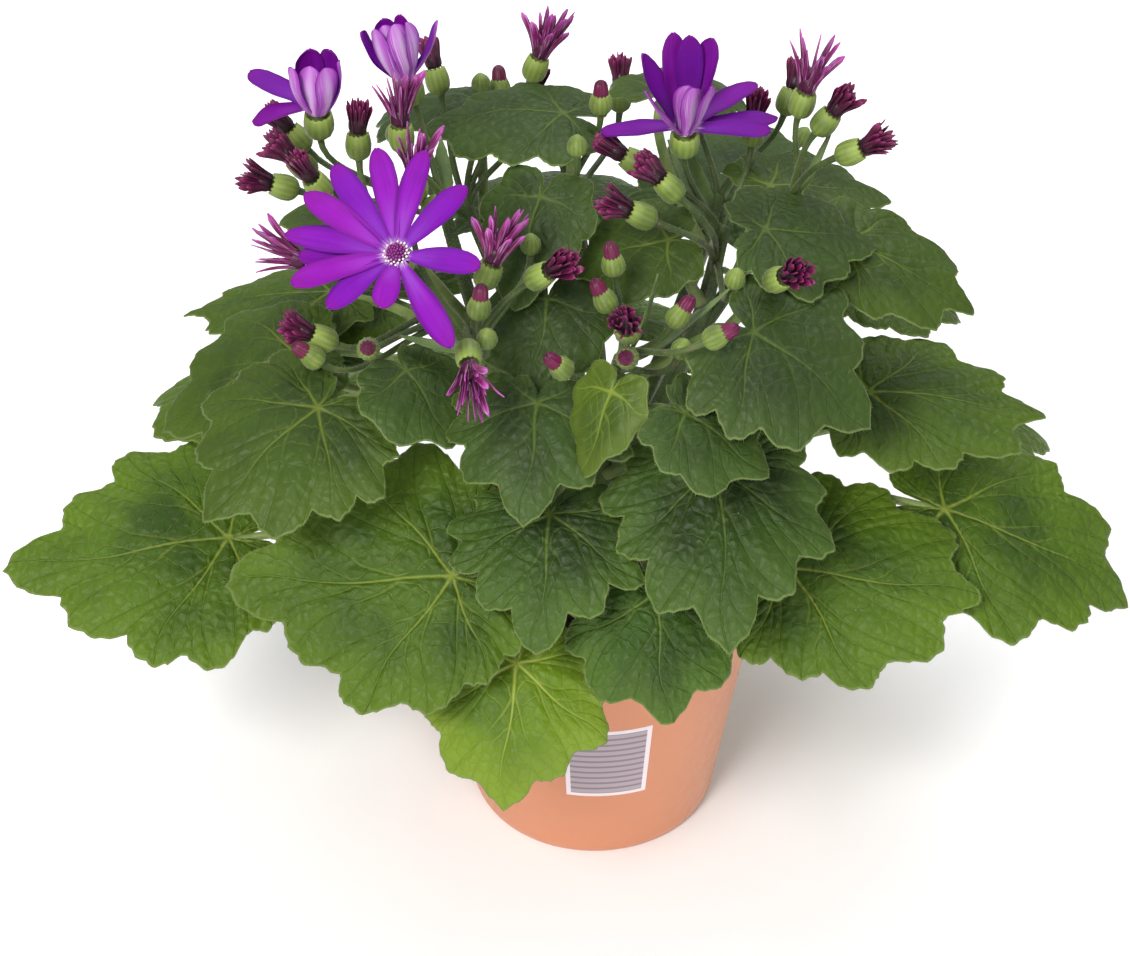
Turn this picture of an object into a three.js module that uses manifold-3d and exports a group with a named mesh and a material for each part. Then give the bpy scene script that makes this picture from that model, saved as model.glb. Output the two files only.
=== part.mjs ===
// A florist's cineraria in bud and flower, growing in a plain tapered nursery pot.
// Units are millimetres. +Z is up, +X is right and -Y is the front.
// The origin is the middle of the pot's base.
import * as THREE from "three";
import { mergeVertices } from "three/addons/utils/BufferGeometryUtils.js";
import Module from "manifold-3d";

const wasm = await Module();
wasm.setup();

// ---------------------------------------------------------------- driving dimensions
const CLEARANCE = 0.35; // gap between pieces that touch
const SLIVER = 0.04; // details smaller than this are smoothed away after a boolean
const WELD = 1e-3; // points closer than this are one point
const POT = { base: 44, top: 58, height: 102, wall: 1.5, floor: 2.5, rim: 2.6, rimDepth: 9, sides: 32 };
const DRAIN = { holes: 6, radius: 4, ring: 29, sides: 8 };
const SOIL = { level: 89, crest: 3.5, grain: 0.9, rings: 3, sides: 24 };
const STEM_STEPS = 4;
const STEM_SIDES = 6;
const BLADE = { thick: 0.9, midRing: 0.52 };
const LOBED = 162; // degrees from the midrib to the last lobe on each side
const PETIOLE = { root: 2.4, tip: 1.4, sides: 4, steps: 3 };
const PEDUNCLE = { root: 1.5, tip: 1.1, sides: 5, steps: 2 };
// Bract rows: a share of the length, the half breadth there, and the sag below a straight line.
const BRACT = { thick: 0.7, rows: [[0, 0.4, 0], [0.35, 0.95, 0.06], [0.7, 0.75, 0.05], [1, 0.1, 0]] };
const CUP_HEIGHT = 9;
// Sections of the green cup or bud, each a height above its foot and a radius.
const CUPS = {
  bloom: [[2, 4.2], [6, 4.9], [CUP_HEIGHT, 4.5]],
  ray: [[2, 3.8], [6, 4.4], [CUP_HEIGHT, 3.7]],
  brush: [[2, 3.8], [5.5, 4.5], [CUP_HEIGHT, 3.5]],
  pink: [[1.5, 3], [5, 4], [8, 2.6], [11, 1.2]],
  green: [[1.5, 2.6], [4.5, 3.4], [7, 2], [8, 0.6]],
  brushBud: [[2, 3.8], [5.5, 4.5], [CUP_HEIGHT, 3.5], [13, 3.2], [19, 4.2]],
};
const DISC = [[0, 3.4], [1.2, 3.6], [4.2, 2.4]];
// Petal rows: a share of the length, and the breadth there as a share of the widest.
const PETAL = {
  thick: 0.7, lift: 2.2, sink: 1.4,
  rows: [[0, 0.25], [0.5, 0.85], [0.86, 0.92], [1, 0.34]],
};
const TUFTS = {
  ray: { count: 7, length: 15, flare: 16, width: 1.1, thick: 0.35, core: 3, foot: 2.9 },
  brush: { count: 7, length: 7, flare: 14, width: 1, thick: 0.5, core: 4, foot: 2.9 },
};

// Gives each value of each row its column's name.
const named = (columns, rows) =>
  rows.map((row) => Object.fromEntries(columns.map((column, k) => [column, row[k]])));

const COLOURS = {
  pot: ["#dd8f66", 0.45],
  soil: ["#2b1d16", 1.0],
  stems: ["#5f7a35", 0.6],
  leafDark: ["#2c5526", 0.5],
  leafMid: ["#3f6d2c", 0.5],
  leafLight: ["#5f8a30", 0.5],
  bloom: ["#8a1fb4", 0.5],
  tuft: ["#8f1a5c", 0.55],
};

// Each stem is a smooth line through its points, and tapers from its first radius to its second.
const STEMS = {
  crown: { line: [[0, 0, 72], [0, 0, 112], [1, 3, 138]], radius: [8, 6.5] },
  left: { line: [[0, 0, 112], [-15, -4, 150], [-38, -8, 190], [-60, -10, 226]], radius: [5, 2.6] },
  leftInner: { line: [[-32, -7, 180], [-42, 2, 210], [-50, 6, 242]], radius: [3.2, 2.2] },
  leftFront: { line: [[-28, -6, 174], [-34, -22, 196], [-38, -34, 212]], radius: [3, 2] },
  middle: { line: [[0, 0, 116], [2, -12, 150], [4, -24, 184], [7, -32, 206]], radius: [5, 2.6] },
  right: { line: [[0, 0, 114], [16, 3, 150], [33, 4, 195], [40, 2, 232]], radius: [5, 2.6] },
  rightOuter: { line: [[30, 4, 186], [48, 8, 215], [62, 10, 240]], radius: [3.2, 2.2] },
  back: { line: [[1, 3, 128], [0, 20, 175], [-10, 32, 238]], radius: [4.6, 2.4] },
  backLeft: { line: [[0, 2, 120], [-22, 32, 165], [-44, 52, 212]], radius: [4.4, 2.4] },
  backRight: { line: [[0, 2, 122], [24, 34, 165], [42, 56, 212]], radius: [4.4, 2.4] },
};

// Leaves, lowest first.
// at: where the blade meets its stalk. aim: compass angle of the midrib (0 is +X, -90 is the front).
// pitch: fall of the midrib there. roll: rise of the left side. droop: further fall along the midrib.
// arch: fall of each side. size: from stalk to tip. wide: breadth factor. cut: depth of the lobes.
// lobes: number on each side. stem and root: the stem that it grows from, and how high.
const LEAF_COLUMNS = [
  "name", "tone", "at", "aim", "pitch", "roll", "droop",
  "arch", "size", "wide", "cut", "lobes", "stem", "root",
];
const LEAVES = named(LEAF_COLUMNS, [
  ["low_01", "leafMid", [-124, -19, 124], 189, 0, -26, 18, 22, 73, 0.92, 0.14, 6, "crown", 112],
  ["low_02", "leafMid", [-46, -73, 151], 182, 0, -44, 16, 18, 71, 0.95, 0.14, 6, "crown", 124],
  ["low_03", "leafLight", [-26, -78, 119], -99, 36, 0, 34, 28, 48, 1.05, 0.13, 6, "crown", 104],
  ["low_04", "leafDark", [18, -74, 144], -80, 40, 0, 34, 30, 43, 1.15, 0.17, 5, "crown", 116],
  ["low_05", "leafMid", [62, -54, 139], -10, 0, 34, 20, 22, 66, 0.88, 0.15, 6, "crown", 110],
  ["low_06", "leafMid", [115, -28, 143], -18, 6, 24, 48, 24, 76, 0.75, 0.15, 6, "crown", 122],
  ["low_07", "leafMid", [112, 40, 134], 24, 8, 0, 36, 28, 66, 1.0, 0.14, 5, "crown", 114],
  ["low_08", "leafLight", [64, 86, 122], 56, 14, 0, 40, 30, 72, 1.1, 0.13, 5, "crown", 108],
  ["low_09", "leafMid", [0, 100, 136], 92, 14, 0, 42, 30, 72, 1.1, 0.13, 5, "crown", 118],
  ["low_10", "leafLight", [-68, 82, 122], 126, 14, 0, 40, 30, 72, 1.1, 0.13, 5, "crown", 106],
  ["low_11", "leafMid", [-104, 42, 148], 164, 6, 0, 30, 26, 64, 1.0, 0.13, 5, "crown", 120],
  ["mid_01", "leafMid", [-87, -52, 201], 222, 14, -14, 34, 24, 50, 1.1, 0.18, 6, "left", 150],
  ["mid_02", "leafMid", [-98, -8, 192], 192, 14, -14, 36, 22, 52, 0.92, 0.15, 5, "left", 164],
  ["mid_03", "leafDark", [-15, -66, 170], -98, 28, 0, 26, 22, 43, 1.2, 0.22, 6, "crown", 134],
  ["mid_04", "leafDark", [37, -60, 183], -86, 30, 0, 22, 24, 57, 1.0, 0.2, 6, "middle", 146],
  ["mid_05", "leafMid", [88, -19, 184], 1, 2, 16, 26, 20, 62, 0.74, 0.18, 6, "right", 148],
  ["mid_06", "leafMid", [84, 35, 196], 22, 10, 0, 34, 26, 52, 1.0, 0.15, 5, "right", 158],
  ["mid_07", "leafDark", [44, 66, 203.5], 68, -16, 0, 30, 26, 59, 1.05, 0.15, 5, "backRight", 150],
  ["mid_08", "leafDark", [-11, 86, 194], 98, 7, 0, 38, 26, 66, 1.05, 0.15, 5, "back", 152],
  ["mid_09", "leafMid", [-72, 48, 178], 140, 10, 0, 36, 26, 66, 1.0, 0.15, 5, "backLeft", 148],
  ["top_01", "leafDark", [47, -50, 228], -28, 20, 20, 24, 24, 46, 1.15, 0.2, 5, "middle", 192],
  ["top_02", "leafDark", [26, -69, 211], -24, 22, 18, 22, 24, 33, 1.0, 0.2, 4, "middle", 166],
  ["top_03", "leafMid", [78, -4, 232], -14, 14, 18, 34, 22, 52, 0.66, 0.18, 5, "right", 180],
  ["top_04", "leafMid", [56, 20, 238], 10, 0, 6, 30, 28, 44, 0.95, 0.16, 5, "rightOuter", 206],
  ["top_05", "leafDark", [52, -15, 243], 8, 4, 14, 24, 24, 38, 1.05, 0.18, 5, "rightOuter", 214],
  ["top_06", "leafLight", [4, -63, 215], -128, 52, 0, 16, 20, 27, 0.8, 0.14, 4, "middle", 182],
  ["top_07", "leafDark", [-19, -55, 205], -98, 28, 0, 28, 24, 38, 1.25, 0.26, 5, "middle", 156],
  ["top_08", "leafDark", [-16, -21, 221], -100, 30, 0, 28, 26, 34, 1.05, 0.16, 4, "middle", 174],
  ["top_09", "leafDark", [-60, -42, 208], -46, 26, 0, 28, 26, 30, 1.1, 0.16, 4, "leftFront", 192],
  ["top_10", "leafMid", [-90, 36, 187], 176, 2, 0, 26, 26, 54, 0.7, 0.15, 5, "left", 180],
  ["top_11", "leafDark", [-11, 28, 260], 172, -6, -4, 42, 28, 48, 0.82, 0.14, 5, "back", 216],
  ["top_12", "leafDark", [-18, -5, 249], -112, 36, 0, 30, 28, 36, 0.88, 0.16, 4, "back", 200],
  ["top_13", "leafMid", [22, 46, 258], 50, 2, 0, 38, 28, 40, 0.95, 0.15, 4, "backRight", 196],
  ["top_14", "leafDark", [-42, 78, 238], 116, 12, 0, 38, 28, 52, 1.0, 0.15, 4, "backLeft", 196],
  ["top_15", "leafMid", [-75, 23, 223], 158, -6, 0, 40, 28, 36, 0.95, 0.15, 4, "leftInner", 196],
  ["top_16", "leafMid", [22, -11, 236.6], 186, 8, -20, 26, 24, 34, 0.95, 0.12, 4, "right", 204],
]);

// Flower heads. at: foot of the green cup. compass and tilt: where it leans, and how far from upright.
// stem and root: the stem that its stalk leaves, and how far along that stem as a share of its length.
const HEAD_COLUMNS = ["name", "kind", "at", "compass", "tilt", "stem", "root"];
const asHeads = (rows) => named(HEAD_COLUMNS, rows);
const BLOOMS = asHeads([
  ["bloom_front", "bloom", [-60, -43, 246], -98, 34, "left", 0.9],
  ["bloom_right", "bloom", [27, 5, 258], -90, 10, "right", 0.92],
  ["bloom_left", "bloom", [-87, 4, 265], -90, 6, "leftInner", 0.8],
  ["bloom_rear", "bloom", [-58, 20, 268], 180, 16, "leftInner", 0.9],
]);
// Petals of each open head: the angle round the head, the opening angle from its axis, and a share of size.
// breadth is the widest half breadth of each, foot is how far from the axis they start, and belly is how
// many degrees an upright petal bows out at its foot and in at its tip.
const PETALS = {
  bloom_front: {
    size: 32,
    curl: 10,
    breadth: 4.3,
    belly: 0,
    foot: 2,
    each: [
      [48, 74, 0.86], [83, 72, 0.97], [104, 72, 0.99], [132, 74, 1], [154, 74, 0.99], [174, 76, 1],
      [188, 84, 0.86], [204, 78, 0.96], [226, 80, 0.77], [267, 76, 0.52], [305, 92, 0.99], [354, 78, 0.77],
    ],
  },
  bloom_right: {
    size: 30,
    curl: 12,
    breadth: 4.2,
    belly: 16,
    foot: 2.4,
    each: [
      [14, 90, 0.95], [40, 76, 0.9], [58, 20, 0.98], [82, 12, 1], [108, 20, 1], [148, 24, 0.92],
      [178, 90, 0.8], [214, 24, 0.85], [260, -4, 0.68], [296, 0, 0.68], [326, 10, 0.74], [346, 76, 0.82],
    ],
  },
  bloom_left: {
    size: 20,
    curl: 6,
    breadth: 4.5,
    belly: 30,
    foot: 2.7,
    each: [
      [0, 12, 0.98], [56, 12, 1], [112, 10, 1], [145, 78, 1.2],
      [180, 104, 0.95], [206, 12, 0.98], [250, -2, 0.96], [314, 4, 0.96],
    ],
  },
  bloom_rear: {
    size: 21,
    curl: 4,
    breadth: 4.3,
    belly: 26,
    foot: 2.7,
    each: [
      [0, -2, 1], [36, 4, 1], [66, 12, 0.98], [90, 38, 1],
      [142, 11, 0.94], [200, 12, 0.92], [262, 16, 0.95], [318, 4, 1],
    ],
  },
};
const TUFTED = asHeads([
  ["tuft_01", "ray", [-61, 0, 262], 120, 6, "leftInner", 1],
  ["tuft_02", "ray", [-57, -14, 252], -60, 6, "leftInner", 0.9],
  ["tuft_03", "ray", [-36, -35, 234], 20, 22, "leftFront", 1],
  ["tuft_04", "ray", [-40, -58, 230], -84, 104, "leftFront", 0.9],
  ["tuft_05", "ray", [63, 15, 266], 10, 14, "rightOuter", 1],
  ["tuft_06", "ray", [-82, -25, 234], 176, 70, "left", 0.9],
  ["tuft_07", "ray", [-22, 61, 254], 8, 20, "back", 0.95],
  ["tuft_08", "brush", [68, 8, 264], 0, 34, "rightOuter", 0.9],
  ["tuft_09", "brush", [74, 0, 260], -10, 62, "rightOuter", 0.8],
  ["tuft_10", "brush", [26, -12, 252], 160, 50, "right", 0.85],
  ["tuft_11", "brush", [18, -22, 250], 176, 66, "right", 0.8],
  ["tuft_12", "brush", [-22, -35, 236], -20, 50, "leftFront", 0.95],
  ["tuft_13", "brush", [9, -52, 228], -100, 40, "middle", 1],
  ["tuft_14", "brush", [-82, -30, 210], 184, 60, "left", 0.8],
  ["tuft_15", "brush", [-94, 0, 248], 184, 70, "left", 1],
  ["tuft_16", "brush", [-88, -6, 257], 170, 50, "left", 0.95],
  ["tuft_17", "brush", [52, -35, 236], -50, 50, "right", 0.8],
]);
const BUDS = asHeads([
  ["pink_01", "pink", [5, -34, 238], 150, 10, "middle", 1],
  ["pink_02", "pink", [4, -42, 230], 150, 34, "middle", 0.95],
  ["pink_03", "pink", [22, -46, 227], 30, 40, "middle", 0.95],
  ["pink_04", "pink", [31, -62, 232], 10, 66, "middle", 0.95],
  ["pink_05", "pink", [-37, -48, 231], 60, 14, "leftFront", 1],
  ["pink_06", "pink", [-54, -18, 250], 10, 50, "leftFront", 0.9],
  ["pink_07", "pink", [-86, -38, 208], 180, 50, "left", 0.75],
  ["pink_08", "pink", [1, 24, 262], 90, 4, "back", 0.9],
  ["pink_09", "pink", [9, -55, 222], -100, 56, "middle", 0.95],
  ["pink_10", "pink", [-9, -54, 215], -160, 40, "middle", 0.9],
  ["pink_11", "pink", [-71, -42, 216], -90, 50, "left", 0.75],
  ["pink_12", "pink", [-32, 66, 244], 100, 20, "backLeft", 0.95],
  ["pink_13", "pink", [34, 78, 240], 70, 20, "backRight", 0.95],
  ["green_01", "green", [-34, -55, 226], -90, 10, "leftFront", 0.9],
  ["green_02", "green", [-21, -25, 240], 90, 10, "leftFront", 0.9],
  ["green_03", "green", [24, -52, 220], 0, 20, "middle", 0.85],
  ["green_04", "green", [41, -35, 234], 30, 16, "right", 0.85],
  ["green_05", "green", [-38, 60, 250], 120, 10, "backLeft", 0.95],
  ["green_06", "green", [-6.6, 1, 260], 90, 10, "back", 0.8],
  ["green_07", "green", [-66, 58, 232], 150, 30, "backLeft", 0.9],
  ["green_08", "green", [68, 60, 230], 30, 30, "backRight", 0.9],
  ["brush_01", "brushBud", [16, 4, 253], 168, 60, "right", 0.95],
  ["brush_02", "brushBud", [-92, 15, 254], 170, 40, "leftInner", 0.8],
  ["brush_03", "brushBud", [-84, -14, 254], 200, 30, "left", 0.9],
  ["brush_04", "brushBud", [-22, 62, 240], 60, 14, "backLeft", 0.95],
  ["brush_05", "brushBud", [-75, 2, 258], 90, 8, "left", 1],
  ["brush_06", "brushBud", [50, 32, 246], 60, 8, "right", 0.95],
  ["brush_07", "brushBud", [-52, 66, 246], 120, 26, "backLeft", 1],
  ["brush_08", "brushBud", [62, 52, 246], 50, 28, "backRight", 1],
  ["brush_09", "brushBud", [8, 72, 236], 84, 20, "back", 0.85],
]);

// Small narrow leaves at the forks.
// stem and root: where each grows, as a share of the stem's length. tip: its end.
const BRACTS = [
  { stem: "middle", root: 0.97, tip: [40, -38, 236], breadth: 4.6 },
  { stem: "middle", root: 0.95, tip: [18, -36, 240], breadth: 3.4 },
  { stem: "middle", root: 0.96, tip: [32, -28, 222], breadth: 3.2 },
  { stem: "right", root: 0.96, tip: [22, 8, 262], breadth: 3.6 },
  { stem: "rightOuter", root: 0.92, tip: [74, 12, 264], breadth: 3.2 },
  { stem: "leftFront", root: 0.95, tip: [-62, -34, 216], breadth: 3.2 },
  { stem: "leftInner", root: 0.95, tip: [-50, 20, 256], breadth: 3.4 },
  { stem: "backLeft", root: 0.95, tip: [-68, 62, 228], breadth: 4.2 },
  { stem: "backRight", root: 0.95, tip: [26, 74, 232], breadth: 4.2 },
];

// ---------------------------------------------------------------- small tools
const rad = THREE.MathUtils.degToRad;
const lerp = THREE.MathUtils.lerp;
const vec = (p) => new THREE.Vector3(...p);

// A steady irregularity between -1 and 1, from a piece's own number and a place on it.
const wobble = (seed, place) => Math.sin(seed * 7.31 + place * 2.39);

// Values for each step round a full circle.
const round = (count, make) => Array.from({ length: count }, (_, k) => make((2 * Math.PI * k) / count, k));

// A closed three.js geometry as a manifold-3d solid.
function solid(geometry) {
  const bare = new THREE.BufferGeometry().setAttribute("position", geometry.getAttribute("position"));
  if (geometry.index) bare.setIndex(geometry.index);
  const merged = mergeVertices(bare, WELD);
  return new wasm.Manifold(
    new wasm.Mesh({
      numProp: 3,
      vertProperties: merged.attributes.position.array,
      triVerts: new Uint32Array(merged.index.array),
    }),
  );
}

const solidOf = (points, index) => solid(new THREE.BufferGeometry().setFromPoints(points).setIndex(index));

// A manifold-3d solid as a three.js geometry.
function geometryOf(made) {
  const mesh = made.getMesh();
  const geometry = new THREE.BufferGeometry();
  geometry.setAttribute("position", new THREE.BufferAttribute(new Float32Array(mesh.vertProperties), 3));
  geometry.setIndex(new THREE.BufferAttribute(new Uint32Array(mesh.triVerts), 1));
  geometry.computeVertexNormals();
  return geometry;
}

// The largest of a solid's separate bodies, without slivers.
const largest = (made) =>
  made
    .simplify(SLIVER)
    .decompose()
    .reduce((best, body) => (body.volume() > best.volume() ? body : best));

function piece(name, tone, made) {
  const [color, roughness] = COLOURS[tone];
  const finish = new THREE.MeshStandardMaterial({ color, roughness, metalness: 0, flatShading: true });
  const mesh = new THREE.Mesh(geometryOf(largest(solid(geometryOf(made)))), finish);
  mesh.name = name;
  return mesh;
}

// A closed solid from rings with the same number of points, joined in order and capped at both ends.
function loft(rings) {
  const sides = rings[0].length;
  const last = (rings.length - 1) * sides;
  const index = [];
  for (let ring = 0; ring < last; ring += sides)
    for (let s = 0; s < sides; s++) {
      const a = ring + s;
      const b = ring + ((s + 1) % sides);
      index.push(a, b, a + sides, b, b + sides, a + sides);
    }
  for (let s = 1; s + 1 < sides; s++) index.push(0, s + 1, s, last, last + s, last + s + 1);
  return solidOf(rings.flat(), index);
}

// A round bar through stations that each have a centre, a direction and a radius.
function bar(stations, sides) {
  const across = new THREE.Vector3(0.31, -0.95, 0.05);
  return loft(
    stations.map(({ centre, along, radius }) => {
      across.addScaledVector(along, -across.dot(along)).normalize();
      const side = new THREE.Vector3().crossVectors(along, across);
      return round(sides, (turn) =>
        centre
          .clone()
          .addScaledVector(across, radius * Math.cos(turn))
          .addScaledVector(side, radius * Math.sin(turn)),
      );
    }),
  );
}

// Stations along a curve, with a radius that changes evenly.
function stationsAlong(curve, rootRadius, tipRadius, steps) {
  return Array.from({ length: steps + 1 }, (_, k) => ({
    centre: curve.getPointAt(k / steps),
    along: curve.getTangentAt(k / steps),
    radius: lerp(rootRadius, tipRadius, k / steps),
  }));
}

// ---------------------------------------------------------------- pot and soil
function makePot() {
  const { base, top, height, wall, floor, rim, rimDepth, sides } = POT;
  const profile = [
    [0, 0],
    [base - 2, 0],
    [base, 3],
    [top, height - rimDepth],
    [top + rim, height - rimDepth],
    [top + rim, height],
    [top - wall + 1, height],
    [base - wall, floor],
    [0, floor],
  ].map(([r, z]) => new THREE.Vector2(r, z));
  const shell = solid(new THREE.LatheGeometry(profile, sides).rotateX(Math.PI / 2));
  const drains = round(DRAIN.holes, (turn) =>
    solid(
      new THREE.CylinderGeometry(DRAIN.radius, DRAIN.radius, 4 * floor, DRAIN.sides)
        .rotateX(Math.PI / 2)
        .translate(DRAIN.ring * Math.cos(turn), DRAIN.ring * Math.sin(turn), 0),
    ),
  );
  return shell.subtract(wasm.Manifold.union(drains));
}

// The pot's inner radius at a height.
function potInside(z) {
  const { base, top, wall, floor, height } = POT;
  return lerp(base - wall, top - wall + 1, (z - floor) / (height - floor));
}

// The soil fills the pot, with a lumpy crown, and each stem stands in a plain hole.
function makeSoil(stems) {
  const { level, crest, grain, rings, sides } = SOIL;
  const bottom = POT.floor + CLEARANCE;
  const inset = CLEARANCE + 0.5;
  const edge = potInside(level) - inset;
  const ring = (radius, height) =>
    round(sides, (turn, s) => new THREE.Vector3(radius * Math.cos(turn), radius * Math.sin(turn), height(s)));
  const layers = [ring(potInside(bottom) - inset, () => bottom), ring(edge, () => level)];
  for (let k = 1; k <= rings; k++) {
    const inward = k / (rings + 1);
    const rise = level + crest * Math.sin((inward * Math.PI) / 2);
    layers.push(ring(edge * (1 - inward), (s) => rise + grain * wobble(k, 1.7 * s * (1 + k))));
  }
  return largest(loft(layers).subtract(stems));
}

// ---------------------------------------------------------------- stems
const stemCurves = Object.fromEntries(
  Object.entries(STEMS).map(([name, { line }]) => [name, new THREE.CatmullRomCurve3(line.map(vec))]),
);

// A stem, or the room that it needs with extra all round.
function makeStem(name, extra = 0) {
  const [root, tip] = STEMS[name].radius;
  const stations = stationsAlong(stemCurves[name], root + extra, tip + extra, STEM_STEPS);
  stations[0].centre.addScaledVector(stations[0].along, -extra);
  return bar(stations, STEM_SIDES);
}

// The point of a stem's centre line at a height.
function stemAt(name, height) {
  const curve = stemCurves[name];
  let [low, high] = [0, 1];
  for (let k = 0; k < 24; k++) {
    const middle = (low + high) / 2;
    if (curve.getPoint(middle).z < height) low = middle;
    else high = middle;
  }
  return curve.getPoint(low);
}

// A narrow blade, drawn out to a point, whose root is sunk in its stem.
function makeBract({ stem, root, tip, breadth }) {
  const start = stemCurves[stem].getPoint(root);
  const along = vec(tip).sub(start);
  const across = new THREE.Vector3(-along.y, along.x, 0).normalize();
  const face = new THREE.Vector3().crossVectors(along, across).normalize();
  const rows = BRACT.rows.map(([share, width, sag]) => {
    const centre = start.clone().addScaledVector(along, share).addScaledVector(face, -sag * along.length());
    const corner = (side, lift) =>
      centre
        .clone()
        .addScaledVector(across, side * width * breadth)
        .addScaledVector(face, lift * BRACT.thick);
    return [corner(1, 0.5), corner(-1, 0.5), corner(-1, -0.5), corner(1, -0.5)];
  });
  return loft(rows);
}

// ---------------------------------------------------------------- leaves
// Rows of an angle from the midrib, and the distance from the stalk to the lobes there as a share of the size.
const ENVELOPE = [
  [0, 1], [15, 0.9], [35, 0.79], [60, 0.73], [90, 0.6], [120, 0.5], [150, 0.34], [168, 0.19], [180, 0.05],
];

function envelope(angle) {
  const k = ENVELOPE.findIndex(([a]) => a >= angle);
  if (k <= 0) return ENVELOPE[0][1];
  const [[a0, r0], [a1, r1]] = [ENVELOPE[k - 1], ENVELOPE[k]];
  return lerp(r0, r1, (angle - a0) / (a1 - a0));
}

// Distance from the stalk to the leaf's edge: the envelope with a notch between each two lobes.
function leafEdge(leaf, seed, angle) {
  const place = (Math.abs(angle) * leaf.lobes) / LOBED;
  const lobe = Math.round(place);
  const notch = 1 - leaf.cut * 2 * Math.abs(place - lobe);
  const uneven = lobe > leaf.lobes ? 1 : 1 + 0.05 * wobble(seed, Math.sign(angle) * lobe);
  return leaf.size * envelope(Math.abs(angle)) * notch * uneven;
}

// The directions of a leaf where it meets its stalk: along the midrib, to its left, and out of its top face.
function leafAxes(leaf) {
  const [aim, pitch, roll] = [rad(leaf.aim), rad(leaf.pitch), rad(leaf.roll)];
  const level = Math.cos(pitch);
  const along = new THREE.Vector3(Math.cos(aim) * level, Math.sin(aim) * level, -Math.sin(pitch));
  const left = new THREE.Vector3(-Math.sin(aim), Math.cos(aim), 0).applyAxisAngle(along, roll);
  return { along, left, out: new THREE.Vector3().crossVectors(along, left) };
}

// Bends a flat place of the blade into space: the midrib falls along one circle, the sides fall along
// another, and the margin waves. lift is the distance from the middle of the blade's thickness.
function leafPoint(leaf, seed, axes, angle, radius, lift) {
  const a = radius * Math.cos(rad(angle));
  const b = radius * Math.sin(rad(angle)) * leaf.wide;
  const bend = rad(leaf.droop) / leaf.size;
  const curl = rad(leaf.arch) / (0.7 * leaf.size);
  const share = radius / leaf.size;
  const wave = 0.04 * leaf.size * share * share * Math.sin(3 * rad(angle) + 1.7 * seed);
  const out = wave + lift - (1 - Math.cos(curl * b)) / curl;
  return vec(leaf.at)
    .addScaledVector(axes.along, Math.sin(bend * a) / bend + Math.sin(bend * a) * out)
    .addScaledVector(axes.left, Math.sin(curl * b) / curl)
    .addScaledVector(axes.out, Math.cos(bend * a) * out - (1 - Math.cos(bend * a)) / bend);
}

// The blade: two faces with the same triangles, from the stalk to a middle ring, and from there to the lobes
// and the notches between them, with a rim that joins the faces.
function makeBlade(leaf, seed) {
  const axes = leafAxes(leaf);
  const step = LOBED / leaf.lobes;
  const count = 2 * leaf.lobes + 1;
  const lobes = Array.from({ length: count }, (_, k) => (k - leaf.lobes) * step);
  const notches = lobes.map((angle, k) => (k + 1 < count ? angle + step / 2 : 180));
  const ring = (angles, share, lift) =>
    angles.map((angle) => leafPoint(leaf, seed, axes, angle, share * leafEdge(leaf, seed, angle), lift));
  const face = (lift) => [
    leafPoint(leaf, seed, axes, 0, 0, lift),
    ...ring(lobes, BLADE.midRing, lift),
    ...ring(lobes, 1, lift),
    ...ring(notches, 1, lift),
  ];
  const points = [...face(BLADE.thick / 2), ...face(-BLADE.thick / 2)];
  const under = 1 + 3 * count;
  const index = [];
  const both = (p, q, r) => index.push(p, q, r, under + p, under + r, under + q);
  const rim = (p, q) => index.push(p, under + p, under + q, p, under + q, q);
  for (let k = 0; k < count; k++) {
    const [middle, nextMiddle] = [1 + k, 1 + ((k + 1) % count)];
    const [tip, nextTip, notch] = [middle + count, nextMiddle + count, middle + 2 * count];
    both(0, middle, nextMiddle);
    both(middle, tip, notch);
    both(middle, notch, nextMiddle);
    both(nextMiddle, notch, nextTip);
    rim(tip, notch);
    rim(notch, nextTip);
  }
  return solidOf(points, index);
}

// The stalk: it leaves its stem outwards and comes up under the blade, along the midrib.
function makePetiole(leaf) {
  const axes = leafAxes(leaf);
  const root = stemAt(leaf.stem, leaf.root);
  const end = vec(leaf.at).addScaledVector(axes.out, -PETIOLE.tip).addScaledVector(axes.along, 5);
  const run = end.distanceTo(root);
  const outward = new THREE.Vector3(end.x - root.x, end.y - root.y, 0.5 * run).normalize();
  const curve = new THREE.CubicBezierCurve3(
    root,
    root.clone().addScaledVector(outward, 0.4 * run),
    end.clone().addScaledVector(axes.along, -0.35 * run),
    end,
  );
  return bar(stationsAlong(curve, PETIOLE.root, PETIOLE.tip, PETIOLE.steps), PETIOLE.sides);
}

function makeLeaf(leaf, seed, room) {
  return largest(makeBlade(leaf, seed).add(makePetiole(leaf)).subtract(room));
}

// ---------------------------------------------------------------- flower heads
// A head's own directions: up its axis, and two across.
function headAxes(head) {
  const [compass, tilt] = [rad(head.compass), rad(head.tilt)];
  const level = Math.sin(tilt);
  const up = new THREE.Vector3(Math.cos(compass) * level, Math.sin(compass) * level, Math.cos(tilt));
  const across = new THREE.Vector3(-Math.sin(compass), Math.cos(compass), 0);
  return { up, across, side: new THREE.Vector3().crossVectors(up, across) };
}

// A place on a head, from its height up the axis, its distance out, and its angle round.
function headPoint(head, axes, height, radius, angle) {
  return vec(head.at)
    .addScaledVector(axes.up, height)
    .addScaledVector(axes.across, radius * Math.cos(angle))
    .addScaledVector(axes.side, radius * Math.sin(angle));
}

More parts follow.
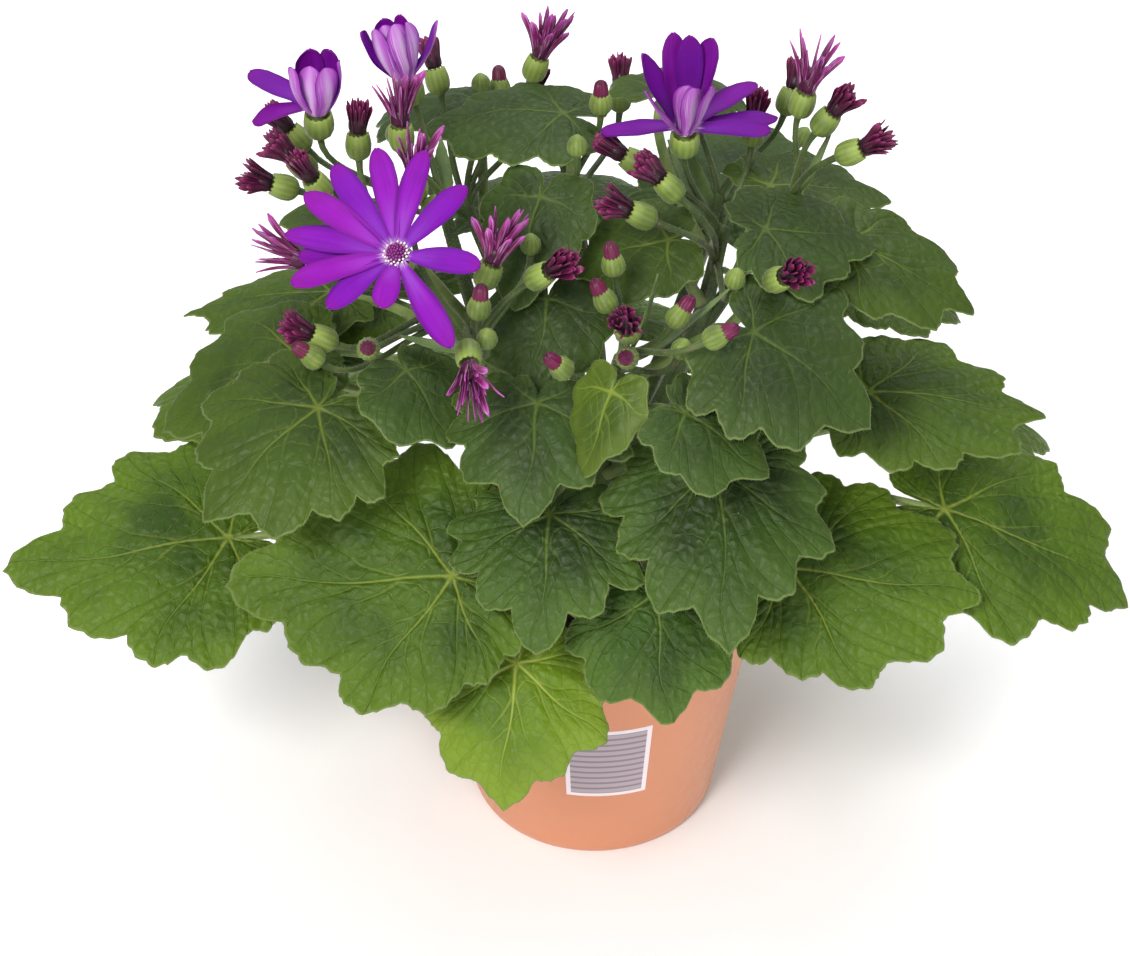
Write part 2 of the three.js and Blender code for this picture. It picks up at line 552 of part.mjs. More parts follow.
// The green parts of a head as one bar: the stalk, and the cup or the closed bud on it, each grown all round.
function makeGreen(head, grow = 0) {
  const axes = headAxes(head);
  const curve = stemCurves[head.stem];
  const root = curve.getPoint(head.root);
  const foot = vec(head.at);
  const run = foot.distanceTo(root);
  const stalk = new THREE.CubicBezierCurve3(
    root,
    root.clone().addScaledVector(curve.getTangent(head.root), 0.35 * run),
    foot.clone().addScaledVector(axes.up, -0.35 * run),
    foot,
  );
  const cup = CUPS[head.kind].map(([height, radius]) => ({
    centre: headPoint(head, axes, height, 0, 0),
    along: axes.up,
    radius: radius + grow,
  }));
  const stations = stationsAlong(stalk, PEDUNCLE.root + grow, PEDUNCLE.tip + grow, PEDUNCLE.steps);
  return bar([...stations, ...cup], PEDUNCLE.sides);
}

// One petal: a thin blade that leaves the disc at its opening angle and curls outwards, and that bows out
// and in again where it stands upright. The lean of each length is taken at its middle.
function makePetal(head, axes, form, [turn, open, length]) {
  const angle = rad(turn);
  const size = form.size * length;
  const upright = Math.cos(rad(open));
  const reach = { out: form.foot, height: CUP_HEIGHT + PETAL.lift - PETAL.sink * upright };
  let last = 0;
  const rows = PETAL.rows.map(([share, width]) => {
    const middle = (share + last) / 2;
    const lean = rad(open + form.curl * middle + form.belly * (1 - 2 * middle) * upright);
    reach.out += size * (share - last) * Math.sin(lean);
    reach.height += size * (share - last) * Math.cos(lean);
    last = share;
    const corner = (side, lift) =>
      headPoint(head, axes, reach.height + lift * Math.sin(lean), reach.out - lift * Math.cos(lean), angle)
        .addScaledVector(axes.across, -Math.sin(angle) * side * form.breadth * width)
        .addScaledVector(axes.side, Math.cos(angle) * side * form.breadth * width);
    const t = PETAL.thick / 2;
    return [corner(1, t), corner(-1, t), corner(-1, -t), corner(1, -t)];
  });
  return loft(rows);
}

// An open head: a disc that stands clear of its cup, and petals sunk into the disc.
function makeBloom(head) {
  const axes = headAxes(head);
  const form = PETALS[head.name];
  const disc = loft(
    DISC.map(([height, radius]) =>
      round(8, (turn) => headPoint(head, axes, CUP_HEIGHT + CLEARANCE + height, radius, turn)),
    ),
  );
  const petals = form.each.map((petal) => makePetal(head, axes, form, petal));
  return largest(wasm.Manifold.union([disc, ...petals]));
}

// A tuft of narrow unopened florets that stand in a ring on a short bundle, each drawn out to a point.
function makeTuft(head) {
  const axes = headAxes(head);
  const { count, length, flare, width, thick, core, foot } = TUFTS[head.kind];
  const base = CUP_HEIGHT + CLEARANCE;
  const step = (2 * Math.PI) / count;
  const ring = (height, radius) => round(count, (turn) => headPoint(head, axes, height, radius, turn));
  const points = [...ring(base, foot), ...ring(base + core, foot + 0.3), ...ring(base + core, 1.2)];
  const index = [];
  for (let k = 0; k < count; k++) {
    const next = (k + 1) % count;
    const [a, b, c, d] = [count + k, count + next, 2 * count + next, 2 * count + k];
    index.push(k, next, a, next, b, a);
    const spread = rad(flare * (1 + 0.45 * wobble(k, head.at[2])));
    const reach = length * (1 + 0.12 * wobble(k, head.at[1]));
    const floret = (share, side, outer) => {
      const height = base + core + reach * share * Math.cos(spread) - outer * Math.sin(spread);
      const radius = 0.7 * foot + reach * share * Math.sin(spread) + outer * Math.cos(spread);
      const angle = (k + 0.5) * step;
      return headPoint(head, axes, height, radius, angle)
        .addScaledVector(axes.across, -Math.sin(angle) * side)
        .addScaledVector(axes.side, Math.cos(angle) * side);
    };
    const at = points.length;
    points.push(floret(0.72, -width, thick), floret(0.72, width, thick));
    points.push(floret(0.72, width, -thick), floret(0.72, -width, -thick), floret(1, 0, 0));
    const root = [a, b, c, d];
    for (let s = 0; s < 4; s++) {
      const t = (s + 1) % 4;
      index.push(root[s], root[t], at + s, root[t], at + t, at + s, at + s, at + t, at + 4);
    }
  }
  for (let k = 1; k + 1 < count; k++) index.push(0, k + 1, k, 2 * count, 2 * count + k, 2 * count + k + 1);
  return solidOf(points, index);
}

// ---------------------------------------------------------------- the plant
const stemNames = Object.keys(STEMS);
const bareStems = wasm.Manifold.union(stemNames.map((name) => makeStem(name)));
const stemRoom = wasm.Manifold.union(stemNames.map((name) => makeStem(name, CLEARANCE)));
const heads = [...BLOOMS, ...TUFTED, ...BUDS];
const greens = [...heads.map((head) => makeGreen(head)), ...BRACTS.map(makeBract)];
const stalkRoom = heads.map((head) => makeGreen(head, CLEARANCE));
const greenRoom = wasm.Manifold.union([stemRoom, ...stalkRoom]);

const plant = new THREE.Group();
plant.add(piece("pot", "pot", makePot()));
plant.add(piece("soil", "soil", makeSoil(stemRoom)));
plant.add(piece("stems", "stems", largest(wasm.Manifold.union([bareStems, ...greens]))));
LEAVES.forEach((leaf, k) => {
  plant.add(piece(`leaf_${leaf.name}`, leaf.tone, makeLeaf(leaf, k + 1, greenRoom)));
});
BLOOMS.forEach((head) => plant.add(piece(head.name, "bloom", makeBloom(head))));
TUFTED.forEach((head) => plant.add(piece(head.name, "tuft", makeTuft(head))));

export default plant;
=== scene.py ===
"""A florist cineraria in a nursery pot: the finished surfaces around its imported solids.

The tables hold millimetres, as the solids do, and the meshes are in metres. +Z is up and -Y is the
front.
"""

import logging
import math
from dataclasses import dataclass, field
from enum import Enum, IntEnum
from typing import TypeVar

import bpy
import numpy as np
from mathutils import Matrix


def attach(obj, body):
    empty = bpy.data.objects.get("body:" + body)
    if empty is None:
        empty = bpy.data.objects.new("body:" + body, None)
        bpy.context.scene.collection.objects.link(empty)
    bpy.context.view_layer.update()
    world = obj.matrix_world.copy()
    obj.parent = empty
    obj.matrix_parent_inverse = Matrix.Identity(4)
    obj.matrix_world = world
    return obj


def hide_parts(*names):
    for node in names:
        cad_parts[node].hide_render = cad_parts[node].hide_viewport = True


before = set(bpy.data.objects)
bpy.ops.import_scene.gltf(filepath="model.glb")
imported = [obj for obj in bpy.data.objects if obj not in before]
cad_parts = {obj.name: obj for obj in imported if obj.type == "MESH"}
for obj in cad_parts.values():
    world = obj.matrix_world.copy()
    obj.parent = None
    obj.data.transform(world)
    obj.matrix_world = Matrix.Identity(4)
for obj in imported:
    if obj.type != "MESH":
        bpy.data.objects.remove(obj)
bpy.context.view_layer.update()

log = logging.getLogger("cineraria")
Array = np.ndarray
Material = bpy.types.Material
Point = tuple[float, float, float]
Rows = tuple[tuple[float, ...], ...]
Made = TypeVar("Made")
MM = 0.001
# The angle between neighbours in a sunflower's spiral, in radians.
SPIRAL = 2.4


# ---------------------------------------------------------------- small tools
def linear(code: str) -> tuple[float, float, float, float]:
    """Turns an sRGB hex colour into linear light.

    Args:
        code: six hex digits after a hash sign.

    Returns:
        Linear red, green and blue, and full alpha.
    """
    levels = [int(code[k : k + 2], 16) / 255 for k in (1, 3, 5)]
    light = [c / 12.92 if c <= 0.04045 else ((c + 0.055) / 1.055) ** 2.4 for c in levels]
    return (*light, 1.0)


def unit(vectors: Array) -> Array:
    """Vectors of length one along the last axis."""
    return vectors / np.linalg.norm(vectors, axis=-1, keepdims=True)


def eased(values: Array, low: float, high: float) -> Array:
    """Smooth step: 0 below low, 1 above high, and 3t^2 - 2t^3 between them."""
    t = np.clip((values - low) / (high - low), 0, 1)
    return t * t * (3 - 2 * t)


def wobble(seed: float, place: Array) -> Array:
    """A steady irregularity between -1 and 1, from a piece's own number and a place on it."""
    return np.sin(seed * 7.31 + np.asarray(place) * 2.39)


def around(columns: int) -> Array:
    """Angles evenly round a full turn."""
    return np.arange(columns) * 2 * np.pi / columns


def turned(radius: Array, angle: Array, height: Array) -> Array:
    """Points at distances from an upright axis, angles round it and heights, (..., 3)."""
    return np.stack(np.broadcast_arrays(radius * np.cos(angle), radius * np.sin(angle), height), -1)


def profile(rows: Rows, count: int) -> Array:
    """Even samples along a line of given points, softened by one pass of averaging.

    Args:
        rows: the points.
        count: how many samples to give back.

    Returns:
        Samples of every column, evenly spaced along the line's length.
    """
    points = np.array(rows, float)
    run = np.concatenate([[0], np.cumsum(np.linalg.norm(np.diff(points, axis=0), axis=1))])
    at = np.linspace(0, run[-1], count)
    line = np.stack([np.interp(at, run, column) for column in points.T], axis=-1)
    line[1:-1] = (line[:-2] + 2 * line[1:-1] + line[2:]) / 4
    return line


def bezier(a: Array, b: Array, c: Array, d: Array, count: int) -> Array:
    """Points of a cubic Bezier curve: (1-t)^3 a + 3(1-t)^2 t b + 3(1-t) t^2 c + t^3 d."""
    t = np.linspace(0, 1, count)[:, None]
    return (1 - t) ** 3 * a + 3 * (1 - t) ** 2 * t * b + 3 * (1 - t) * t**2 * c + t**3 * d


def tube(centre: Array, radius: Array, columns: int, ribs: int = 0, depth: float = 0.0) -> Array:
    """Rings round a line, with ridges along it.

    A point is at centre + radius (1 + depth cos(ribs phi)) (across cos phi + side sin phi).

    Args:
        centre: points of the line, (..., rows, 3).
        radius: radius at each point, (..., rows).
        columns: points in each ring.
        ribs: ridges that run along the tube.
        depth: height of a ridge as a share of the radius.

    Returns:
        The rings, (..., rows, columns, 3).
    """
    along = unit(np.gradient(centre, axis=-2))
    flattest = np.argmin(np.abs(along.mean(axis=-2)), axis=-1)
    hint = np.eye(3)[flattest][..., None, :]
    across = unit(hint - (hint * along).sum(-1, keepdims=True) * along)
    side = np.cross(along, across)
    turn = around(columns)
    reach = np.asarray(radius)[..., None] * (1 + depth * np.cos(ribs * turn))
    cos, sin = np.cos(turn)[:, None], np.sin(turn)[:, None]
    ring = across[..., None, :] * cos + side[..., None, :] * sin
    return centre[..., None, :] + ring * reach[..., None]


def rounded_tip(centre: Array, radius: Array) -> tuple[Array, Array]:
    """Adds a round end to a line: four rings whose radius falls as a quarter circle.

    Args:
        centre: points of the line, (rows, 3).
        radius: radius at each point, (rows,).

    Returns:
        The longer line and its radii.
    """
    forward = unit(centre[-1] - centre[-2])
    steps = np.array([0.35, 0.65, 0.87, 0.98])
    more = centre[-1] + forward * (steps * radius[-1])[:, None]
    fall = radius[-1] * np.sqrt(1 - steps**2)
    return np.concatenate([centre, more]), np.concatenate([radius, fall])


def strip(
    centre: Array, wide: Array, half: Array, thick: float, hollow: Array, columns: int
) -> Array:
    """A thin closed blade along a line.

    Its section is v = cos phi across and, along the face's normal, hollow v^2 for both faces, plus
    half the thickness times the root of |sin phi|, upwards where sin phi is positive and downwards
    elsewhere.

    Args:
        centre: points of the midline, (..., rows, 3).
        wide: direction of the breadth, (..., rows, 3).
        half: half breadth at each point, (..., rows).
        thick: thickness.
        hollow: rise of the edges over the midline at each point, (..., rows).
        columns: points round the section.

    Returns:
        The rings, (..., rows, columns, 3).
    """
    along = unit(np.gradient(centre, axis=-2))
    wide = unit(wide - (wide * along).sum(-1, keepdims=True) * along)
    normal = np.cross(along, wide)
    phi = around(columns)
    v = np.cos(phi)
    rise = thick / 2 * np.sign(np.sin(phi)) * np.sqrt(np.abs(np.sin(phi)))
    rise = rise + np.asarray(hollow)[..., None] * v**2
    reach = np.asarray(half)[..., None] * v
    flat = centre[..., None, :] + wide[..., None, :] * reach[..., None]
    return flat + normal[..., None, :] * rise[..., None]


def face_marks(columns: int) -> tuple[Array, Array]:
    """Where each column of a strip lies: -1 to 1 across it, and 1 on the under face, else 0."""
    phi = around(columns)
    return np.cos(phi), (np.sin(phi) < -1e-6).astype(float)


def scatter(grid: Array, count: int, seed: int) -> tuple[Array, Array]:
    """Draws places on a tube, each between two rings, and the way out of the tube there.

    Args:
        grid: the tube's rings, (rows, columns, 3).
        count: how many places.
        seed: what the draw starts from.

    Returns:
        The places and the ways out, (count, 3) each.
    """
    draw = np.random.default_rng(seed)
    row = draw.integers(0, len(grid) - 1, count)
    column = draw.integers(0, grid.shape[1], count)
    share = draw.random((count, 1))
    place = grid[row, column] * (1 - share) + grid[row + 1, column] * share
    middle = grid[row].mean(axis=1) * (1 - share) + grid[row + 1].mean(axis=1) * share
    return place, unit(unit(place - middle) + 0.35 * draw.standard_normal((count, 3)))


# ---------------------------------------------------------------- meshes
@dataclass
class Skin:
    """The closed surfaces of one piece, gathered in millimetres until they become one mesh."""

    names: tuple[str, ...] = ()
    points: list[Array] = field(default_factory=list)
    faces: list[Array] = field(default_factory=list)
    finishes: list[Array] = field(default_factory=list)
    marks: list[Array] = field(default_factory=list)
    size: int = 0

    def add(self, grid: Array, finish: int = 0, **marks: Array | float) -> None:
        """Adds surfaces made of rows of closed rings, with a fan of triangles over each end.

        A ring turns anticlockwise, seen against the rows' direction, so that the faces point
        outwards.

        Args:
            grid: points, (..., rows, columns, 3), for one surface or many.
            finish: which of the piece's materials the surface takes.
            marks: values for the piece's named marks, which broadcast to (..., rows, columns).
        """
        shape = grid.shape[:-1]
        solids = grid.reshape(-1, *grid.shape[-3:])
        count, rows, columns = solids.shape[:3]
        here = self.size + np.arange(count * rows * columns).reshape(count, rows, columns)
        beside = np.roll(here, -1, axis=2)
        walls = np.stack([here[:, :-1], beside[:, :-1], beside[:, 1:], here[:, 1:]], -1)
        poles = self.size + here.size + np.arange(2 * count).reshape(count, 2, 1, 1)
        first = np.stack([beside[:, 0], here[:, 0]], -1)
        last = np.stack([here[:, -1], beside[:, -1]], -1)
        ends = np.stack([first, last], 1)
        middle = np.broadcast_to(poles, (*ends.shape[:3], 1))
        fans = np.concatenate([middle, ends, np.full_like(middle, -1)], -1)
        values = np.zeros((count, rows, columns, max(1, len(self.names))))
        for k, name in enumerate(self.names):
            values[..., k] = np.broadcast_to(marks.get(name, 0.0), shape).reshape(solids.shape[:3])
        for kept, grown in ((self.points, solids), (self.marks, values)):
            middles = grown[:, [0, -1]].mean(axis=2)
            kept += [part.reshape(-1, grown.shape[-1]) for part in (grown, middles)]
        self.faces += [walls.reshape(-1, 4), fans.reshape(-1, 4)]
        self.finishes.append(np.full(walls.size // 4 + fans.size // 4, finish))
        self.size += here.size + 2 * count

    def down(self, foot: Array, way: Array, length: Array, thick: float, finish: int) -> None:
        """Adds straight hairs: slim three-sided spikes, closed at the foot.

        A foot's corners stand at foot + thick (side cos t + other sin t) for t = 0, 120 and 240
        degrees.

        Args:
            foot: where the hairs stand, (hairs, 3).
            way: where they point, (hairs, 3), each of length one.
            length: how long each is.
            thick: half the breadth of a foot.
            finish: which of the piece's materials they take.
        """
        side = unit(np.cross(way, (0.31, 0.52, 0.79)))[:, None]
        other = np.cross(way[:, None], side)
        turn = np.radians([0, 120, 240])[:, None]
        ring = foot[:, None] + thick * (side * np.cos(turn) + other * np.sin(turn))
        tips = foot + way * np.reshape(length, (-1, 1))
        first = self.size + 4 * np.arange(len(foot))[:, None, None]
        spike = np.array([[0, 1, 3], [1, 2, 3], [2, 0, 3], [0, 2, 1]])
        faces = np.concatenate([first + spike, np.full((len(foot), 4, 1), -1)], -1).reshape(-1, 4)
        self.points.append(np.concatenate([ring, tips[:, None]], axis=1).reshape(-1, 3))
        self.marks.append(np.zeros((4 * len(foot), max(1, len(self.names)))))
        self.faces.append(faces)
        self.finishes.append(np.full(len(faces), finish))
        self.size += 4 * len(foot)

    def piece(
        self,
        name: str,
        materials: list[Material],
        stands_for: tuple[str, ...] = (),
        flat: tuple[str, str] | None = None,
    ) -> bpy.types.Object:
        """Makes the mesh and its object, which rides on the plant's one body.

        Args:
            name: the object's name.
            materials: the finishes, in the order that add() counts them.
            stands_for: the CAD nodes that the piece replaces.
            flat: the two marks that give the UV map named flat, in millimetres.

        Returns:
            The new object.
        """
        points, faces = np.concatenate(self.points) * MM, np.concatenate(self.faces)
        corners = faces[faces >= 0]
        sides = (faces >= 0).sum(axis=1)
        mesh = bpy.data.meshes.new(name)
        mesh.vertices.add(len(points))
        mesh.vertices.foreach_set("co", points.ravel().astype(np.float32))
        mesh.loops.add(len(corners))
        mesh.loops.foreach_set("vertex_index", corners.astype(np.int32))
        mesh.polygons.add(len(faces))
        mesh.polygons.foreach_set("loop_start", (np.cumsum(sides) - sides).astype(np.int32))
        mesh.polygons.foreach_set("material_index", np.concatenate(self.finishes).astype(np.int32))
        mesh.polygons.foreach_set("use_smooth", np.ones(len(faces), bool))
        mesh.update(calc_edges=True)
        values = np.concatenate(self.marks)
        for k, mark in enumerate(self.names):
            layer = mesh.attributes.new(mark, "FLOAT", "POINT")
            layer.data.foreach_set("value", values[:, k].astype(np.float32))
        if flat:
            pair = values[:, [self.names.index(mark) for mark in flat]]
            layer = mesh.uv_layers.new(name="flat")
            layer.data.foreach_set("uv", pair[corners].ravel().astype(np.float32))
        for material in materials:
            mesh.materials.append(material)
        made = stand(name, mesh)
        settle(made, stands_for)
        return made


def stand(name: str, data: bpy.types.ID) -> bpy.types.Object:
    """Puts a mesh, a light or a camera into the scene.

    Args:
        name: the object's name.
        data: what it shows.

    Returns:
        The new object.
    """
    made = bpy.data.objects.new(name, data)
    bpy.context.scene.collection.objects.link(made)
    return made


def settle(made: bpy.types.Object, stands_for: tuple[str, ...] = ()) -> None:
    """Ties a finished piece to the frame and reports it.

    Args:
        made: the piece.
        stands_for: the CAD nodes that it replaces.
    """
    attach(made, "root")
    if stands_for:
        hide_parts(*stands_for)
    log.info("%s: %d faces", made.name, len(made.data.polygons))


# ---------------------------------------------------------------- what grows where
class Tone(Enum):
    """How dark a leaf is, by the record's slot for it."""

    DARK = "leaf_dark"
    MID = "leaf_mid"
    LIGHT = "leaf_light"


class Kind(Enum):
    """What stands on a stalk's green cup."""

    BLOOM = "an open head"
    RAY = "a tuft of long rolled petals"
    BRUSH = "a tuft of short dark florets"
    PINK = "a closed bud with a magenta tip"
    GREEN = "a closed green bud"
    CLOSED_BRUSH = "a tight dark plug of florets"


@dataclass(frozen=True)
class SmoothLine:
    """A stem's middle: a centripetal Catmull-Rom spline through given points, with a taper."""

    points: tuple[Point, ...]
    radius: tuple[float, float]

    def at(self, share: Array | float) -> Array:
        """Points of the line.

        Between two points p1 and p2 it is the cubic a + b w + c w^2 + d w^3 whose end slopes come
        from the neighbours, weighted by the square roots of the distances between the points.

        Args:
            share: places along it, from 0 to 1.

        Returns:
            The points there, (..., 3).
        """
        knots = np.array(self.points, float)
        knots = np.concatenate([[2 * knots[0] - knots[1]], knots, [2 * knots[-1] - knots[-2]]])
        place = np.asarray(share, float) * (len(self.points) - 1)
        k = np.minimum(place.astype(int), len(self.points) - 2)
        w = (place - k)[..., None]
        p0, p1, p2, p3 = (knots[k + j] for j in range(4))
        pairs = ((p0, p1), (p1, p2), (p2, p3))
        g0, g1, g2 = (np.sqrt(np.linalg.norm(q - p, axis=-1, keepdims=True)) for p, q in pairs)
        start = ((p1 - p0) / g0 - (p2 - p0) / (g0 + g1) + (p2 - p1) / g1) * g1
        end = ((p2 - p1) / g1 - (p3 - p1) / (g1 + g2) + (p3 - p2) / g2) * g1
        square, cube = 3 * (p2 - p1) - 2 * start - end, 2 * (p1 - p2) + start + end
        return p1 + start * w + square * w**2 + cube * w**3

    def direction(self, share: float) -> Array:
        """The line's direction at a share of its length."""
        return unit(self.at(min(share + 1e-3, 1.0)) - self.at(max(share - 1e-3, 0.0)))

    def at_height(self, height: float) -> tuple[Array, float]:
        """Finds where the line is at a height.

        Args:
            height: the height.

        Returns:
            The point of the line there, and its radius.
        """
        line, radii = self.at(np.linspace(0, 1, 400)), np.linspace(*self.radius, 400)
        point = [np.interp(height, line[:, 2], column) for column in (*line.T, radii)]
        return np.array(point[:3]), float(point[3])


@dataclass(frozen=True)
class Leaf:
    """One leaf.

    at is where its blade meets its stalk. aim, pitch and roll turn the blade, in degrees, and droop
    and arch bend it. size is its length, wide its breadth for that length, and cut how deep its
    notches are. Its stalk leaves the stem at the height root.
    """

    name: str
    tone: Tone
    at: Point
    aim: float
    pitch: float
    roll: float
    droop: float
    arch: float
    size: float
    wide: float
    cut: float
    lobes: int
    stem: str
    root: float


@dataclass(frozen=True)
class Head:
    """One flower head or bud.

    at is the foot of its cup. compass is the way that it leans and tilt how far, in degrees, and
    root is the share of the stem's length where its stalk starts.
    """

    name: str
    kind: Kind
    at: Point
    compass: float
    tilt: float
    stem: str
    root: float

    def axes(self) -> Array:
        """Its directions.

        Returns:
            Three rows: across, to the side, and up its axis.
        """
        turn, lean = math.radians(self.compass), math.radians(self.tilt)
        cos, sin = math.cos(turn), math.sin(turn)
        up = np.array([cos * math.sin(lean), sin * math.sin(lean), math.cos(lean)])
        across = np.array([-sin, cos, 0])
        return np.stack([across, np.cross(up, across), up])

    def ways(self, angle: Array) -> tuple[Array, Array]:
        """Directions at places round the axis.

        Args:
            angle: angles round it.

        Returns:
            The ways straight out from the axis, and the ways round it.
        """
        across, side, _ = self.axes()
        cos, sin = np.cos(angle)[..., None], np.sin(angle)[..., None]
        return cos * across + sin * side, -sin * across + cos * side

    def place(self, height: Array, radius: Array, angle: Array) -> Array:
        """Points at heights up the axis, distances from it and angles round it."""
        return np.array(self.at) + turned(radius, angle, height) @ self.axes()


@dataclass(frozen=True)
class PetalSet:
    """An open head's petals.

    size is their length, breadth the widest half breadth of each, belly how far a closed petal bows
    out in degrees, foot how far from the axis they start, and depth how dark the violet is. A
    spread head shows its disc, and in the others the petals close round it. Each petal has its
    angle round the head, its opening from the axis and its share of the length.
    """

    size: float
    curl: float
    breadth: float
    belly: float
    foot: float
    depth: float
    spread: bool
    each: Rows


@dataclass(frozen=True)
class Bract:
    """A small narrow leaf at a fork, from a share of its stem's length to its own tip."""

    stem: str
    root: float
    tip: Point
    breadth: float


def numbered(
    kind: type[Made], label: str, rows: tuple[tuple, ...], *shared: object, first: int = 1
) -> tuple[Made, ...]:
    """Makes one thing of each row, named label_01, label_02 and so on.

    Args:
        kind: its class, whose first field is the name.
        label: the first word of every name.
        rows: the last fields of each.
        shared: the fields between the name and the row, the same for all.
        first: the number of the first.

    Returns:
        The things, in the order of the rows.
    """
    return tuple(kind(f"{label}_{k:02d}", *shared, *row) for k, row in enumerate(rows, first))


DARK, MID, LIGHT = Tone
STEMS = {
    "crown": SmoothLine(((0, 0, 72), (0, 0, 112), (1, 3, 138)), (8, 6.5)),
    "left": SmoothLine(((0, 0, 112), (-15, -4, 150), (-38, -8, 190), (-60, -10, 226)), (5, 2.6)),
    "leftInner": SmoothLine(((-32, -7, 180), (-42, 2, 210), (-50, 6, 242)), (3.2, 2.2)),
    "leftFront": SmoothLine(((-28, -6, 174), (-34, -22, 196), (-38, -34, 212)), (3, 2)),
    "middle": SmoothLine(((0, 0, 116), (2, -12, 150), (4, -24, 184), (7, -32, 206)), (5, 2.6)),
    "right": SmoothLine(((0, 0, 114), (16, 3, 150), (33, 4, 195), (40, 2, 232)), (5, 2.6)),
    "rightOuter": SmoothLine(((30, 4, 186), (48, 8, 215), (62, 10, 240)), (3.2, 2.2)),
    "back": SmoothLine(((1, 3, 128), (0, 20, 175), (-10, 32, 238)), (4.6, 2.4)),
    "backLeft": SmoothLine(((0, 2, 120), (-22, 32, 165), (-44, 52, 212)), (4.4, 2.4)),
    "backRight": SmoothLine(((0, 2, 122), (24, 34, 165), (42, 56, 212)), (4.4, 2.4)),
}
LEAVES = (
    *numbered(Leaf, "low", (
        (MID, (-124, -19, 124), 189, 0, -26, 18, 22, 73, 0.92, 0.14, 6, "crown", 112),
        (MID, (-46, -73, 151), 182, 0, -44, 16, 18, 71, 0.95, 0.14, 6, "crown", 124),
        (LIGHT, (-26, -78, 119), -99, 36, 0, 34, 28, 48, 1.05, 0.13, 6, "crown", 104),
        (DARK, (18, -74, 144), -80, 40, 0, 34, 30, 43, 1.15, 0.17, 5, "crown", 116),
        (MID, (62, -54, 139), -10, 0, 34, 20, 22, 66, 0.88, 0.15, 6, "crown", 110),
        (MID, (115, -28, 143), -18, 6, 24, 48, 24, 76, 0.75, 0.15, 6, "crown", 122),
        (MID, (112, 40, 134), 24, 8, 0, 36, 28, 66, 1.0, 0.14, 5, "crown", 114),
        (LIGHT, (64, 86, 122), 56, 14, 0, 40, 30, 72, 1.1, 0.13, 5, "crown", 108),
        (MID, (0, 100, 136), 92, 14, 0, 42, 30, 72, 1.1, 0.13, 5, "crown", 118),
        (LIGHT, (-68, 82, 122), 126, 14, 0, 40, 30, 72, 1.1, 0.13, 5, "crown", 106),
        (MID, (-104, 42, 148), 164, 6, 0, 30, 26, 64, 1.0, 0.13, 5, "crown", 120),
    )),
    *numbered(Leaf, "mid", (
        (MID, (-87, -52, 201), 222, 14, -14, 34, 24, 50, 1.1, 0.18, 6, "left", 150),
        (MID, (-98, -8, 192), 192, 14, -14, 36, 22, 52, 0.92, 0.15, 5, "left", 164),
        (DARK, (-15, -66, 170), -98, 28, 0, 26, 22, 43, 1.2, 0.22, 6, "crown", 134),
        (DARK, (37, -60, 183), -86, 30, 0, 22, 24, 57, 1.0, 0.2, 6, "middle", 146),
        (MID, (88, -19, 184), 1, 2, 16, 26, 20, 62, 0.74, 0.18, 6, "right", 148),
        (MID, (84, 35, 196), 22, 10, 0, 34, 26, 52, 1.0, 0.15, 5, "right", 158),
        (DARK, (44, 66, 203.5), 68, -16, 0, 30, 26, 59, 1.05, 0.15, 5, "backRight", 150),
        (DARK, (-11, 86, 194), 98, 7, 0, 38, 26, 66, 1.05, 0.15, 5, "back", 152),
        (MID, (-72, 48, 178), 140, 10, 0, 36, 26, 66, 1.0, 0.15, 5, "backLeft", 148),
    )),
    *numbered(Leaf, "top", (
        (DARK, (47, -50, 228), -28, 20, 20, 24, 24, 46, 1.15, 0.2, 5, "middle", 192),
        (DARK, (26, -69, 211), -24, 22, 18, 22, 24, 33, 1.0, 0.2, 4, "middle", 166),
        (MID, (78, -4, 232), -14, 14, 18, 34, 22, 52, 0.66, 0.18, 5, "right", 180),
        (MID, (56, 20, 238), 10, 0, 6, 30, 28, 44, 0.95, 0.16, 5, "rightOuter", 206),
        (DARK, (52, -15, 243), 8, 4, 14, 24, 24, 38, 1.05, 0.18, 5, "rightOuter", 214),
        (LIGHT, (4, -63, 215), -128, 52, 0, 16, 20, 27, 0.8, 0.14, 4, "middle", 182),
        (DARK, (-19, -55, 205), -98, 28, 0, 28, 24, 38, 1.25, 0.26, 5, "middle", 156),
        (DARK, (-16, -21, 221), -100, 30, 0, 28, 26, 34, 1.05, 0.16, 4, "middle", 174),
        (DARK, (-60, -42, 208), -46, 26, 0, 28, 26, 30, 1.1, 0.16, 4, "leftFront", 192),
        (MID, (-90, 36, 187), 176, 2, 0, 26, 26, 54, 0.7, 0.15, 5, "left", 180),
        (DARK, (-11, 28, 260), 172, -6, -4, 42, 28, 48, 0.82, 0.14, 5, "back", 216),
        (DARK, (-18, -5, 249), -112, 36, 0, 30, 28, 36, 0.88, 0.16, 4, "back", 200),
        (MID, (22, 46, 258), 50, 2, 0, 38, 28, 40, 0.95, 0.15, 4, "backRight", 196),
        (DARK, (-42, 78, 238), 116, 12, 0, 38, 28, 52, 1.0, 0.15, 4, "backLeft", 196),
        (MID, (-75, 23, 223), 158, -6, 0, 40, 28, 36, 0.95, 0.15, 4, "leftInner", 196),
        (MID, (22, -11, 236.6), 186, 8, -20, 26, 24, 34, 0.95, 0.12, 4, "right", 204),
    )),
)
BLOOMS = (
    Head("bloom_front", Kind.BLOOM, (-60, -43, 246), -98, 34, "left", 0.9),
    Head("bloom_right", Kind.BLOOM, (27, 5, 258), -90, 10, "right", 0.92),
    Head("bloom_left", Kind.BLOOM, (-87, 4, 265), -90, 6, "leftInner", 0.8),
    Head("bloom_rear", Kind.BLOOM, (-58, 20, 268), 180, 16, "leftInner", 0.9),
)
